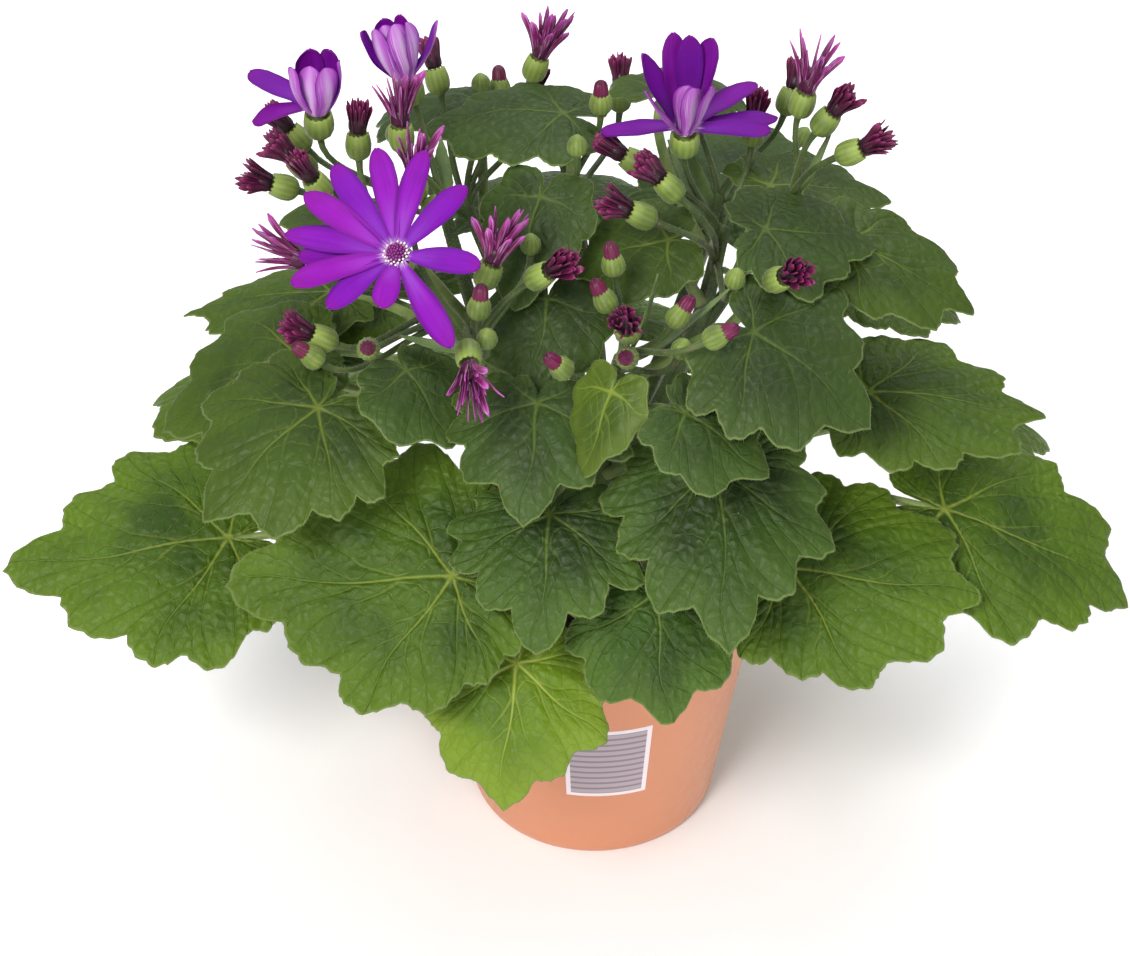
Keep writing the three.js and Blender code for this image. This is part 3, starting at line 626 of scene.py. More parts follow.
TUFTED = (
    *numbered(Head, "tuft", (
        ((-61, 0, 262), 120, 6, "leftInner", 1), ((-57, -14, 252), -60, 6, "leftInner", 0.9),
        ((-36, -35, 234), 20, 22, "leftFront", 1), ((-40, -58, 230), -84, 104, "leftFront", 0.9),
        ((63, 15, 266), 10, 14, "rightOuter", 1), ((-82, -25, 234), 176, 70, "left", 0.9),
        ((-22, 61, 254), 8, 20, "back", 0.95),
    ), Kind.RAY),
    *numbered(Head, "tuft", (
        ((68, 8, 264), 0, 34, "rightOuter", 0.9), ((74, 0, 260), -10, 62, "rightOuter", 0.8),
        ((26, -12, 252), 160, 50, "right", 0.85), ((18, -22, 250), 176, 66, "right", 0.8),
        ((-22, -35, 236), -20, 50, "leftFront", 0.95), ((9, -52, 228), -100, 40, "middle", 1),
        ((-82, -30, 210), 184, 60, "left", 0.8), ((-94, 0, 248), 184, 70, "left", 1),
        ((-88, -6, 257), 170, 50, "left", 0.95), ((52, -35, 236), -50, 50, "right", 0.8),
    ), Kind.BRUSH, first=8),
)
BUDS = (
    *numbered(Head, "pink", (
        ((5, -34, 238), 150, 10, "middle", 1), ((4, -42, 230), 150, 34, "middle", 0.95),
        ((22, -46, 227), 30, 40, "middle", 0.95), ((31, -62, 232), 10, 66, "middle", 0.95),
        ((-37, -48, 231), 60, 14, "leftFront", 1), ((-54, -18, 250), 10, 50, "leftFront", 0.9),
        ((-86, -38, 208), 180, 50, "left", 0.75), ((1, 24, 262), 90, 4, "back", 0.9),
        ((9, -55, 222), -100, 56, "middle", 0.95), ((-9, -54, 215), -160, 40, "middle", 0.9),
        ((-71, -42, 216), -90, 50, "left", 0.75), ((-32, 66, 244), 100, 20, "backLeft", 0.95),
        ((34, 78, 240), 70, 20, "backRight", 0.95),
    ), Kind.PINK),
    *numbered(Head, "green", (
        ((-34, -55, 226), -90, 10, "leftFront", 0.9), ((-21, -25, 240), 90, 10, "leftFront", 0.9),
        ((24, -52, 220), 0, 20, "middle", 0.85), ((41, -35, 234), 30, 16, "right", 0.85),
        ((-38, 60, 250), 120, 10, "backLeft", 0.95), ((-6.6, 1, 260), 90, 10, "back", 0.8),
        ((-66, 58, 232), 150, 30, "backLeft", 0.9), ((68, 60, 230), 30, 30, "backRight", 0.9),
    ), Kind.GREEN),
    *numbered(Head, "brush", (
        ((16, 4, 253), 168, 60, "right", 0.95), ((-92, 15, 254), 170, 40, "leftInner", 0.8),
        ((-84, -14, 254), 200, 30, "left", 0.9), ((-22, 62, 240), 60, 14, "backLeft", 0.95),
        ((-75, 2, 258), 90, 8, "left", 1), ((50, 32, 246), 60, 8, "right", 0.95),
        ((-52, 66, 246), 120, 26, "backLeft", 1), ((62, 52, 246), 50, 28, "backRight", 1),
        ((8, 72, 236), 84, 20, "back", 0.85),
    ), Kind.CLOSED_BRUSH),
)
PETALS = {
    "bloom_front": PetalSet(
        32, 10, 4.15, 0, 2, 0.12, True,
        (
            (48, 74, 0.86), (83, 72, 0.97), (104, 72, 0.99), (132, 74, 1), (154, 74, 0.99),
            (174, 76, 1), (188, 84, 0.86), (204, 78, 0.96), (226, 80, 0.77), (267, 76, 0.52),
            (305, 92, 0.99), (354, 78, 0.77),
        ),
    ),
    "bloom_right": PetalSet(
        30, 12, 4.2, 16, 2.4, 0.5, False,
        (
            (14, 90, 0.95), (40, 76, 0.9), (58, 20, 0.98), (82, 12, 1), (108, 20, 1),
            (148, 24, 0.92), (178, 90, 0.8), (214, 24, 0.85), (260, -4, 0.68), (296, 0, 0.68),
            (326, 10, 0.74), (346, 76, 0.82),
        ),
    ),
    "bloom_left": PetalSet(
        20, 6, 4.8, 30, 2.7, 0.4, False,
        (
            (0, 12, 0.98), (56, 12, 1), (112, 10, 1), (145, 78, 1.2),
            (180, 104, 0.95), (206, 12, 0.98), (250, -2, 0.96), (314, 4, 0.96),
        ),
    ),
    "bloom_rear": PetalSet(
        21, 4, 4.4, 26, 2.7, 0.2, False,
        (
            (0, -2, 1), (36, 4, 1), (66, 12, 0.98), (90, 38, 1),
            (142, 11, 0.94), (200, 12, 0.92), (262, 16, 0.95), (318, 4, 1),
        ),
    ),
}
BRACTS = (
    Bract("middle", 0.97, (40, -38, 236), 4.6),
    Bract("middle", 0.95, (18, -36, 240), 3.4),
    Bract("middle", 0.96, (32, -28, 222), 3.2),
    Bract("right", 0.96, (22, 8, 262), 3.6),
    Bract("rightOuter", 0.92, (74, 12, 264), 3.2),
    Bract("leftFront", 0.95, (-62, -34, 216), 3.2),
    Bract("leftInner", 0.95, (-50, 20, 256), 3.4),
    Bract("backLeft", 0.95, (-68, 62, 228), 4.2),
    Bract("backRight", 0.95, (26, 74, 232), 4.2),
)


# ---------------------------------------------------------------- leaves
class LeafCoat(IntEnum):
    """Where each finish stands among the materials of a leaf."""

    BLADE = 0
    STALK = 1
    HAIR = 2


@dataclass
class Foliage:
    """Every leaf: a rugose blade with toothed lobes, branching veins and a soft round stalk.

    The blade is thick in its middle and thin at its rim, with a row and a column of points at about
    the given distances. Its relief is given for a leaf of the full size or more.
    """

    thick: float = 0.75
    rim: float = 0.45
    row: float = 2.6
    column: float = 3.6
    full: float = 55
    pillow: float = 1.0
    groove: float = 0.3
    pucker: float = 0.2
    bite: float = 0.034
    uneven: float = 0.05
    hair: float = 0.6
    hair_half: float = 0.05
    # The heights over which painted shade comes over the upper leaves: none below the first, full
    # from the second.
    no_shade: float = 110
    full_shade: float = 235
    lobed: float = 162.0
    # The margin's share of the leaf's size at each angle from the midrib.
    envelope: Rows = (
        (0, 1), (15, 0.9), (35, 0.79), (60, 0.73), (90, 0.6),
        (120, 0.5), (150, 0.34), (168, 0.19), (180, 0.05),
    )
    # Where each family of side veins leaves its main vein, and how far over it ends.
    side_veins: Rows = ((0.22, 0.86), (0.42, 0.55), (0.62, 0.3))
    names: tuple[str, ...] = (
        "reach", "under", "vein", "side_1", "side_2", "side_3", "flat_a", "flat_b", "age",
    )

    def edge(self, leaf: Leaf, seed: int, angle: Array) -> Array:
        """Distance from the stalk to the margin.

        It is size times the envelope's value at the angle, times 1 - 0.86 cut q^1.5, where q runs
        from 0 on a lobe's tip to 1 in the notch, times 1 plus a slow unevenness and small teeth,
        seven to two lobes.

        Args:
            leaf: the leaf.
            seed: its number.
            angle: degrees from the midrib, positive to the left.

        Returns:
            Millimetres, one for each angle.
        """
        away = np.abs(angle)
        place = away * leaf.lobes / self.lobed
        q = np.clip(2 * np.abs(place - np.round(place)), 0, 1)
        low = np.floor(place)
        mix = eased(place - low, 0.3, 0.7)
        last = leaf.lobes + 0.5
        side = np.sign(angle)
        uneven = [np.where(k > last, 0, wobble(seed, side * k)) for k in (low, low + 1)]
        rough = 1 + self.uneven * (uneven[0] * (1 - mix) + uneven[1] * mix)
        phase = 3.5 * place + 0.35 * wobble(seed, side * np.round(2 * place))
        tooth = np.abs(phase % 1 - 0.5) * 2
        bite = self.bite * (tooth**0.9 - 0.5) * (away < self.lobed + 4)
        smooth = leaf.size * np.interp(away, *np.array(self.envelope).T)
        return smooth * (1 - 0.86 * leaf.cut * q**1.5) * (rough + bite)

    def bend(self, leaf: Leaf, seed: int, angle: Array, radius: Array, lift: Array) -> Array:
        """Bends flat places of a leaf into space, as its solid is bent.

        The midrib falls along one circle and the sides along another: with a = r cos, b = r sin *
        wide and out = wave + lift - (1 - cos(curl b)) / curl, the place is at + along (sin(bend a)
        / bend + sin(bend a) out) + left sin(curl b) / curl + up (cos(bend a) out - (1 - cos(bend
        a)) / bend).

        Args:
            leaf: the leaf.
            seed: its number.
            angle: degrees from the midrib.
            radius: distances from the stalk.
            lift: distances over the middle of the blade.

        Returns:
            The points, (..., 3).
        """
        aim, pitch, roll = (math.radians(value) for value in (leaf.aim, leaf.pitch, leaf.roll))
        level_out = math.cos(pitch)
        along = np.array([math.cos(aim) * level_out, math.sin(aim) * level_out, -math.sin(pitch)])
        level = np.array([-math.sin(aim), math.cos(aim), 0])
        left = level * math.cos(roll) + np.cross(along, level) * math.sin(roll)
        turn = np.radians(angle)
        a, b = radius * np.cos(turn), radius * np.sin(turn) * leaf.wide
        bend = math.radians(leaf.droop) / leaf.size
        curl = math.radians(leaf.arch) / (0.7 * leaf.size)
        wave = 0.04 * leaf.size * (radius / leaf.size) ** 2 * np.sin(3 * turn + 1.7 * seed)
        out = wave + lift - (1 - np.cos(curl * b)) / curl
        parts = (
            (along, np.sin(bend * a) / bend + np.sin(bend * a) * out),
            (left, np.sin(curl * b) / curl),
            (np.cross(along, left), np.cos(bend * a) * out - (1 - np.cos(bend * a)) / bend),
        )
        return np.array(leaf.at) + sum(value[..., None] * axis for axis, value in parts)

    def blade(self, leaf: Leaf, seed: int, skin: Skin) -> None:
        """Adds the blade: rings from the underside's middle over the rim to the top's middle.

        The relief is a groove on each vein, a pillow between the veins and a puckering, the product
        of two sines. The margin undulates with the cube of the distance from the stalk, and two
        rows of short hairs stand on it.

        Args:
            leaf: the leaf.
            seed: its number.
            skin: what it is added to.
        """
        samples = max(9, round(leaf.size / self.column))
        inner = np.linspace(-self.lobed, self.lobed, 2 * leaf.lobes * samples + 1)
        angle = np.concatenate([inner, [168, 174, 180, -174, -168]])
        steps = max(10, round(leaf.size / self.row))
        top = 1 - (np.arange(steps + 1) / steps) ** 1.1
        top[-1] = 0.25 / steps
        below = np.linspace(0.3 / steps, 1, steps // 2 + 1)
        share = np.concatenate([below, [1.0], top])[:, None]
        face = np.concatenate([-np.ones(len(below)), [0.0], np.ones(len(top))])[:, None]
        edge = self.edge(leaf, seed, angle)[None, :]
        radius = share * edge + 0.3 * (face == 0)
        place = angle * leaf.lobes / self.lobed
        place = place[None, :] + 0.09 * np.sin(7 * share + seed + place[None, :])
        arc = radius * math.radians(self.lobed / leaf.lobes) * (0.4 + 0.6 * leaf.wide)
        main = 2 / np.pi * np.sin(np.pi * place / 2) * arc
        fold = 1 - np.abs(np.abs(place) % 2 - 1)
        sides = []
        for start, end in self.side_veins:
            q = np.clip((share - start) / (1 - start), 0, 1)
            gap = np.maximum(start - share, 0) * leaf.size
            sides.append((fold - end * q**0.55) * arc * 0.85 - gap)
        near = np.minimum.reduce([np.abs(main), *(np.abs(side) + 0.3 for side in sides)])
        turn = np.radians(angle)
        a, b = radius * np.cos(turn), radius * np.sin(turn) * leaf.wide
        scale = min(1.0, leaf.size / self.full)
        pillow = self.pillow * scale * np.clip(near / (0.1 * leaf.size), 0, 1) ** 0.75
        groove = self.groove * scale * np.exp(-((near / 0.8) ** 2))
        warp = 1.3 * np.sin(0.43 * b + seed)
        weft = np.sin(b * 0.9 + 1.2 * np.sin(0.5 * a) + 2 * seed)
        pucker = self.pucker * scale * np.sin(a * 0.95 + warp + seed) * weft
        swing = np.sin(turn * (2 * leaf.lobes + 3) + 2.1 * seed)
        ripple = 0.012 * leaf.size * share**3 * swing
        fade = np.clip(share / 0.12, 0, 1) * np.clip((1 - share) / 0.05, 0.15, 1)
        relief = (pillow - groove + pucker) * fade + ripple
        thick = self.rim + (self.thick - self.rim) * np.clip((1 - share) / 0.3, 0, 1)
        grid = self.bend(leaf, seed, angle[None, :], radius, relief + face * thick / 2)
        families = {f"side_{k}": side for k, side in enumerate(sides, 1)}
        flat = {"flat_a": a + 97 * seed, "flat_b": b}
        # The share of painted shade for the leaf's height, which also fades its veins and softens
        # its relief.
        age = eased(leaf.at[2], self.no_shade, self.full_shade)
        skin.add(grid, reach=share, under=(face < 0) * 1.0, vein=main, age=age, **families, **flat)
        rim, inner = grid[len(below)], grid[len(below) + 4]
        draw = np.random.default_rng(seed)
        for foot in (rim, 0.5 * (rim + np.roll(rim, 1, axis=0))):
            way = unit(unit(foot - inner) + 0.3 * draw.standard_normal(foot.shape))
            length = self.hair * (0.6 + 0.8 * draw.random(len(foot)))
            skin.down(foot, way, length, self.hair_half, LeafCoat.HAIR)

    def stalk(self, leaf: Leaf, seed: int, skin: Skin) -> None:
        """Adds the leaf's stalk: a ribbed tube from its stem that thins out along the midrib.

        Args:
            leaf: the leaf.
            seed: its number.
            skin: what it is added to.
        """
        zero = np.zeros(2)
        ahead = self.bend(leaf, seed, zero, np.array([0, 6.0]), zero)
        along = unit(ahead[1] - ahead[0])
        over = self.bend(leaf, seed, zero[:1], zero[:1], np.array([1.0]))[0] - ahead[0]
        root, stem_radius = STEMS[leaf.stem].at_height(leaf.root)
        end = ahead[0] - 1.25 * over + 5 * along
        run = np.linalg.norm(end - root)
        outward = unit(np.array([end[0] - root[0], end[1] - root[1], 0.5 * run]))
        line = bezier(root, root + outward * 0.4 * run, end - along * 0.35 * run, end, 60)
        clear = np.linalg.norm(line - root, axis=1) > 0.85 * stem_radius
        line = line[clear][:: max(1, clear.sum() // 16)]
        under_rib = end[None] + along * leaf.size * np.array([[0.06], [0.14]]) - over * 0.1
        line = np.concatenate([line, under_rib])
        t = np.linspace(0, 1, len(line))
        radius = 2.0 - 0.75 * t + 0.9 * np.exp(-((t / 0.06) ** 2))
        radius[-2:] = (0.9, 0.25)
        grid = tube(line, radius, 15, 5, 0.07)
        skin.add(grid, finish=LeafCoat.STALK, reach=t[:, None])
        foot, way = scatter(grid[:-2], round(3 * run), seed)
        skin.down(foot, way, np.full(len(foot), 1.5 * self.hair), self.hair_half, LeafCoat.HAIR)

    def build(self, tissues: dict[Tone, Material], stalk: Material, hairs: Material) -> None:
        """Makes every leaf.

        Args:
            tissues: the blade's finish for each tone.
            stalk: the finish of the leaf stalks.
            hairs: the finish of the hairs.
        """
        for seed, leaf in enumerate(LEAVES, 1):
            skin = Skin(self.names)
            self.blade(leaf, seed, skin)
            self.stalk(leaf, seed, skin)
            name, node = f"foliage_{leaf.name}", f"leaf_{leaf.name}"
            coats = [tissues[leaf.tone], stalk, hairs]
            skin.piece(name, coats, (node,), ("flat_a", "flat_b"))


# ---------------------------------------------------------------- stems, cups and buds
@dataclass(frozen=True)
class Bundle:
    """A bundle of narrow florets in a cup: how many, how long, how far they lean, how broad.

    base is the height of its foot over the foot of the cup, foot is its radius there, ragged is how
    much the lengths vary, and rolled is how far a floret's edges rise, for its half breadth.
    """

    count: int
    length: float
    flare: float
    breadth: float
    base: float = 9.35
    foot: float = 2.9
    ragged: float = 0.16
    rolled: float = 0.55
    thick: float = 0.34
    columns: int = 8

    def add(self, head: Head, skin: Skin, finish: int = 0) -> None:
        """Adds the florets, narrow hollow ribbons drawn out to a point, and their packed middle.

        Floret k stands at radius 0.9 foot sqrt((k + 0.5) / count) and angle 2.4 k, give or take 0.3
        radians, leans out with its radius and bends out further along its length. It turns about
        its own line by up to 0.9 radians at its foot and twice that at its tip.

        Args:
            head: the head that holds them.
            skin: what they are added to.
            finish: the material's place in the piece.
        """
        seed = head.at[1] + 0.7 * head.at[2]
        k = np.arange(self.count)[:, None]
        ring = np.sqrt((k + 0.5) / self.count)
        lean = np.radians(self.flare) * ring * (1 + 0.45 * wobble(seed, k + 40))
        reach = self.length * (1 + self.ragged * wobble(seed, 1.7 * k)) * (1.04 - 0.14 * ring**2)
        s = np.linspace(0, 1, 10)[None, :]
        tilt = lean * (0.55 + 0.75 * s)
        step = np.diff(s, axis=1, prepend=0) * reach
        out = self.foot * 0.9 * ring + np.cumsum(step * np.sin(tilt), axis=1)
        up = self.base + np.cumsum(step * np.cos(tilt), axis=1)
        angle = SPIRAL * k + 0.3 * wobble(seed, k) + 0.16 * s**2 * wobble(seed, k + 7)
        centre = head.place(up, out, angle)
        twist = 0.9 * wobble(seed, k + 20) + 0.9 * s * wobble(seed, k + 60)
        outward, round_it = head.ways(angle)
        wide = np.cos(twist)[..., None] * round_it + np.sin(twist)[..., None] * outward
        form = np.interp(s, (0, 0.3, 0.66, 0.86, 0.95, 1), (0.66, 0.74, 1, 0.94, 0.66, 0.2))
        half = self.breadth * form * (1 + 0.15 * wobble(seed, k + 3))
        hollow = self.rolled * half * (1.3 - 0.9 * s)
        grid = strip(centre, wide, half, self.thick, hollow, self.columns)
        v, under = face_marks(self.columns)
        own = wobble(seed, k + 11)[..., None]
        skin.add(grid, finish, reach=s[..., None], across=v, under=under, seed=own)
        phi = around(22)
        tall = min(self.length * 0.55, 6.0)
        shape = ((0, 0.4), (0.02, 1), (0.45, 1.03), (0.9, 0.9), (1.0, 0.4))
        core = profile(tuple((tall * high, share * self.foot) for high, share in shape), 8)
        bumps = 1 + 0.06 * np.cos(11 * phi)[None, :]
        packed = head.place(self.base + core[:, :1], core[:, 1:] * bumps, phi[None, :])
        # The packed middle takes the root's tone, a painted shade.
        skin.add(packed, finish, reach=0.05)


# The outline of each kind's cup from its foot up: heights and the radii there.
CUPS = {
    Kind.BLOOM: ((0.9, 3.1), (2.2, 4.3), (4.4, 4.75), (6.6, 4.7), (8.4, 4.4), (9.1, 4.15)),
    Kind.RAY: ((1.0, 2.8), (2.4, 3.8), (4.6, 4.15), (6.6, 4.0), (8.4, 3.6), (9.1, 3.4)),
    Kind.BRUSH: ((1.0, 2.8), (2.4, 3.8), (4.6, 4.15), (6.6, 3.9), (8.4, 3.5), (9.1, 3.3)),
    Kind.PINK: ((0.8, 2.5), (2.0, 3.45), (3.8, 3.75), (5.4, 3.4), (6.6, 2.9), (7.1, 2.6)),
    Kind.GREEN: ((0.7, 2.2), (1.8, 3.1), (3.6, 3.3), (5.2, 2.8), (6.4, 1.8), (7.2, 0.5)),
}
CUPS[Kind.CLOSED_BRUSH] = CUPS[Kind.BRUSH]


class Coat(IntEnum):
    """Where each finish stands among the materials of the green body."""

    STEM = 0
    CUP = 1
    PINK = 2
    DARK = 3
    BRACT = 4
    HAIR = 5


@dataclass
class Greens:
    """The ribbed stems and stalks, and the ribbed green cups and buds at their ends."""

    cup_height: float = 9.0
    cup_foot: tuple[float, float] = (0.2, 1.2)
    phyllaries: int = 13
    ridges: int = 7
    bract_thick: float = 0.7
    bract_columns: int = 14
    hair: float = 0.75
    pink: Rows = ((4.5, 1.8), (6.6, 2.55), (8.4, 2.5), (10.2, 2.1), (11.2, 1.4), (11.6, 0.4))
    brush: Bundle = Bundle(26, 10.2, 11, 0.85, foot=2.75, ragged=0.08)

    def fuzz(
        self, skin: Skin, grid: Array, count: int, seed: int, length: float = 1, half: float = 0.05
    ) -> None:
        """Adds hairs to a tube's rings. Their length is a share of hair, half is half a foot."""
        foot, way = scatter(grid, count, seed)
        skin.down(foot, way, np.full(count, length * self.hair), half, Coat.HAIR)

    def bars(self, skin: Skin) -> None:
        """Adds the stems, each with its ridges, its soft round end and its hairs.

        Args:
            skin: what they are added to.
        """
        for name, line in STEMS.items():
            centre = line.at(np.linspace(0, 1, 26))
            centre, radius = rounded_tip(centre, np.linspace(*line.radius, 26) * 0.86)
            along = np.linspace(0, 1, len(centre))[:, None]
            grid = tube(centre, radius, 4 * self.ridges, self.ridges, 0.06)
            skin.add(grid, reach=along, seed=wobble(len(name), 1.0))
            self.fuzz(skin, grid[10:-4], 450, len(name), 1.4, 0.055)

    def stalks(self, skin: Skin) -> None:
        """Adds the stalk of each head, from its stem's middle up into its cup.

        Args:
            skin: what they are added to.
        """
        for number, head in enumerate((*BLOOMS, *TUFTED, *BUDS)):
            stem, foot, up = STEMS[head.stem], np.array(head.at, float), head.axes()[2]
            root = stem.at(head.root)
            run = np.linalg.norm(foot - root)
            rise = stem.direction(head.root) * 0.35 * run
            line = bezier(root, root + rise, foot - up * 0.35 * run, foot, 15)
            line = np.concatenate([line, [foot + up * 0.8]])
            radius = 1.2 - 0.35 * np.linspace(0, 1, 16)
            radius[-3:] += (0.1, 0.3, 0.8)
            along = np.linspace(0, 1, 16)[:, None]
            grid = tube(line, radius, 10, 5, 0.08)
            skin.add(grid, reach=along, seed=wobble(number, 2.0))
            self.fuzz(skin, grid[3:-2], round(2.2 * run), number)

    def cups(self, skin: Skin) -> None:
        """Adds the cups and green buds: a turned outline whose radius swells at each green scale.

        From 2 mm up, the radius is r (0.965 + 0.06 |cos(13 phi / 2)|), and the rim's tips stand 0.7
        mm over its notches. An open cup goes on inside its rim and down.

        Args:
            skin: what they are added to.
        """
        phi = around(2 * self.phyllaries)
        scale = np.abs(np.cos(self.phyllaries * phi / 2))
        for number, head in enumerate((*BLOOMS, *TUFTED, *BUDS)):
            outline = profile((self.cup_foot, *CUPS[head.kind]), 13)
            open_cup = head.kind is not Kind.GREEN
            if open_cup:
                inside = outline[-1] - [(0.3, 0.5), (2.2, 0.9), (3.4, 1.6)]
                outline = np.concatenate([outline, inside])
            height, radius = outline[:, :1], outline[:, 1:]
            rise = np.clip((height - 2.5) / 5, 0, 1)
            up = height + (0.7 * scale - 0.35) * open_cup * rise
            spread = radius * (1 + (0.06 * scale - 0.035) * np.clip(height / 2, 0, 1))
            grid = head.place(up, spread, phi[None, :])
            self.fuzz(skin, grid[2:11], 70, number + 90, 0.8)
            reach, own = np.clip(height / self.cup_height, 0, 1), wobble(number, 3.0)
            skin.add(grid, finish=Coat.CUP, reach=reach, seed=own, across=scale[None, :])

    def plugs(self, skin: Skin) -> None:
        """Adds what shows in closed buds: petals rolled into a ribbed plug, or a dark bundle.

        The plug's radius is r (0.88 + 0.14 b), and over 9 mm it stands 0.5 b higher, where b is the
        size of cos((10 phi + 0.35 height) / 2).

        Args:
            skin: what they are added to.
        """
        phi = around(40)
        outline = profile(self.pink, 14)
        height, radius = outline[:, :1], outline[:, 1:]
        bumps = np.abs(np.cos((phi[None, :] * 10 + height * 0.35) / 2))
        share = (height - height.min()) / np.ptp(height) * np.ones_like(phi)
        grid = (height + 0.5 * bumps * (height > 9), radius * (0.88 + 0.14 * bumps), phi[None, :])
        for number, head in enumerate(BUDS):
            if head.kind is Kind.PINK:
                own, solid = wobble(number, 5.0), head.place(*grid)
                skin.add(solid, finish=Coat.PINK, reach=share, seed=own, across=bumps)
            if head.kind is Kind.CLOSED_BRUSH:
                self.brush.add(head, skin, finish=Coat.DARK)

    def bracts(self, skin: Skin) -> None:
        """Adds the small leaves at the forks.

        At a share s of the length, the half breadth is breadth sin(pi (0.04 + 0.955 s)^0.75)^0.8
        with a ripple of 6 %, and the midline stands 0.065 sin(pi s^0.8) of the length off the
        straight line.

        Args:
            skin: what they are added to.
        """
        for number, bract in enumerate(BRACTS):
            start = STEMS[bract.stem].at(bract.root)
            run = np.array(bract.tip) - start
            s = np.linspace(0, 1, 18)
            across = unit(np.array([-run[1], run[0], 0.0]))
            face = unit(np.cross(run, across))
            sag = 0.065 * np.linalg.norm(run) * np.sin(np.pi * s**0.8)
            centre = start + s[:, None] * run - sag[:, None] * face
            swell = np.clip(np.sin(np.pi * (0.04 + 0.955 * s) ** 0.75), 0.04, 1) ** 0.8
            half = bract.breadth * swell * (1 + 0.06 * np.sin(s * 40 + number))
            across = np.broadcast_to(across, centre.shape)
            grid = strip(centre, across, half, self.bract_thick, 0.18 * half, self.bract_columns)
            v, under = face_marks(self.bract_columns)
            own, reach = wobble(number, 6.0), s[:, None]
            skin.add(grid, finish=Coat.BRACT, reach=reach, seed=own, across=v, under=under)

    def build(self, finishes: list[Material]) -> None:
        """Makes the one green body of the plant.

        Args:
            finishes: its materials, in the order of Coat.
        """
        skin = Skin(("reach", "seed", "across", "under"))
        for part in (self.bars, self.stalks, self.cups, self.plugs, self.bracts):
            part(skin)
        skin.piece("branching", finishes, ("stems",))


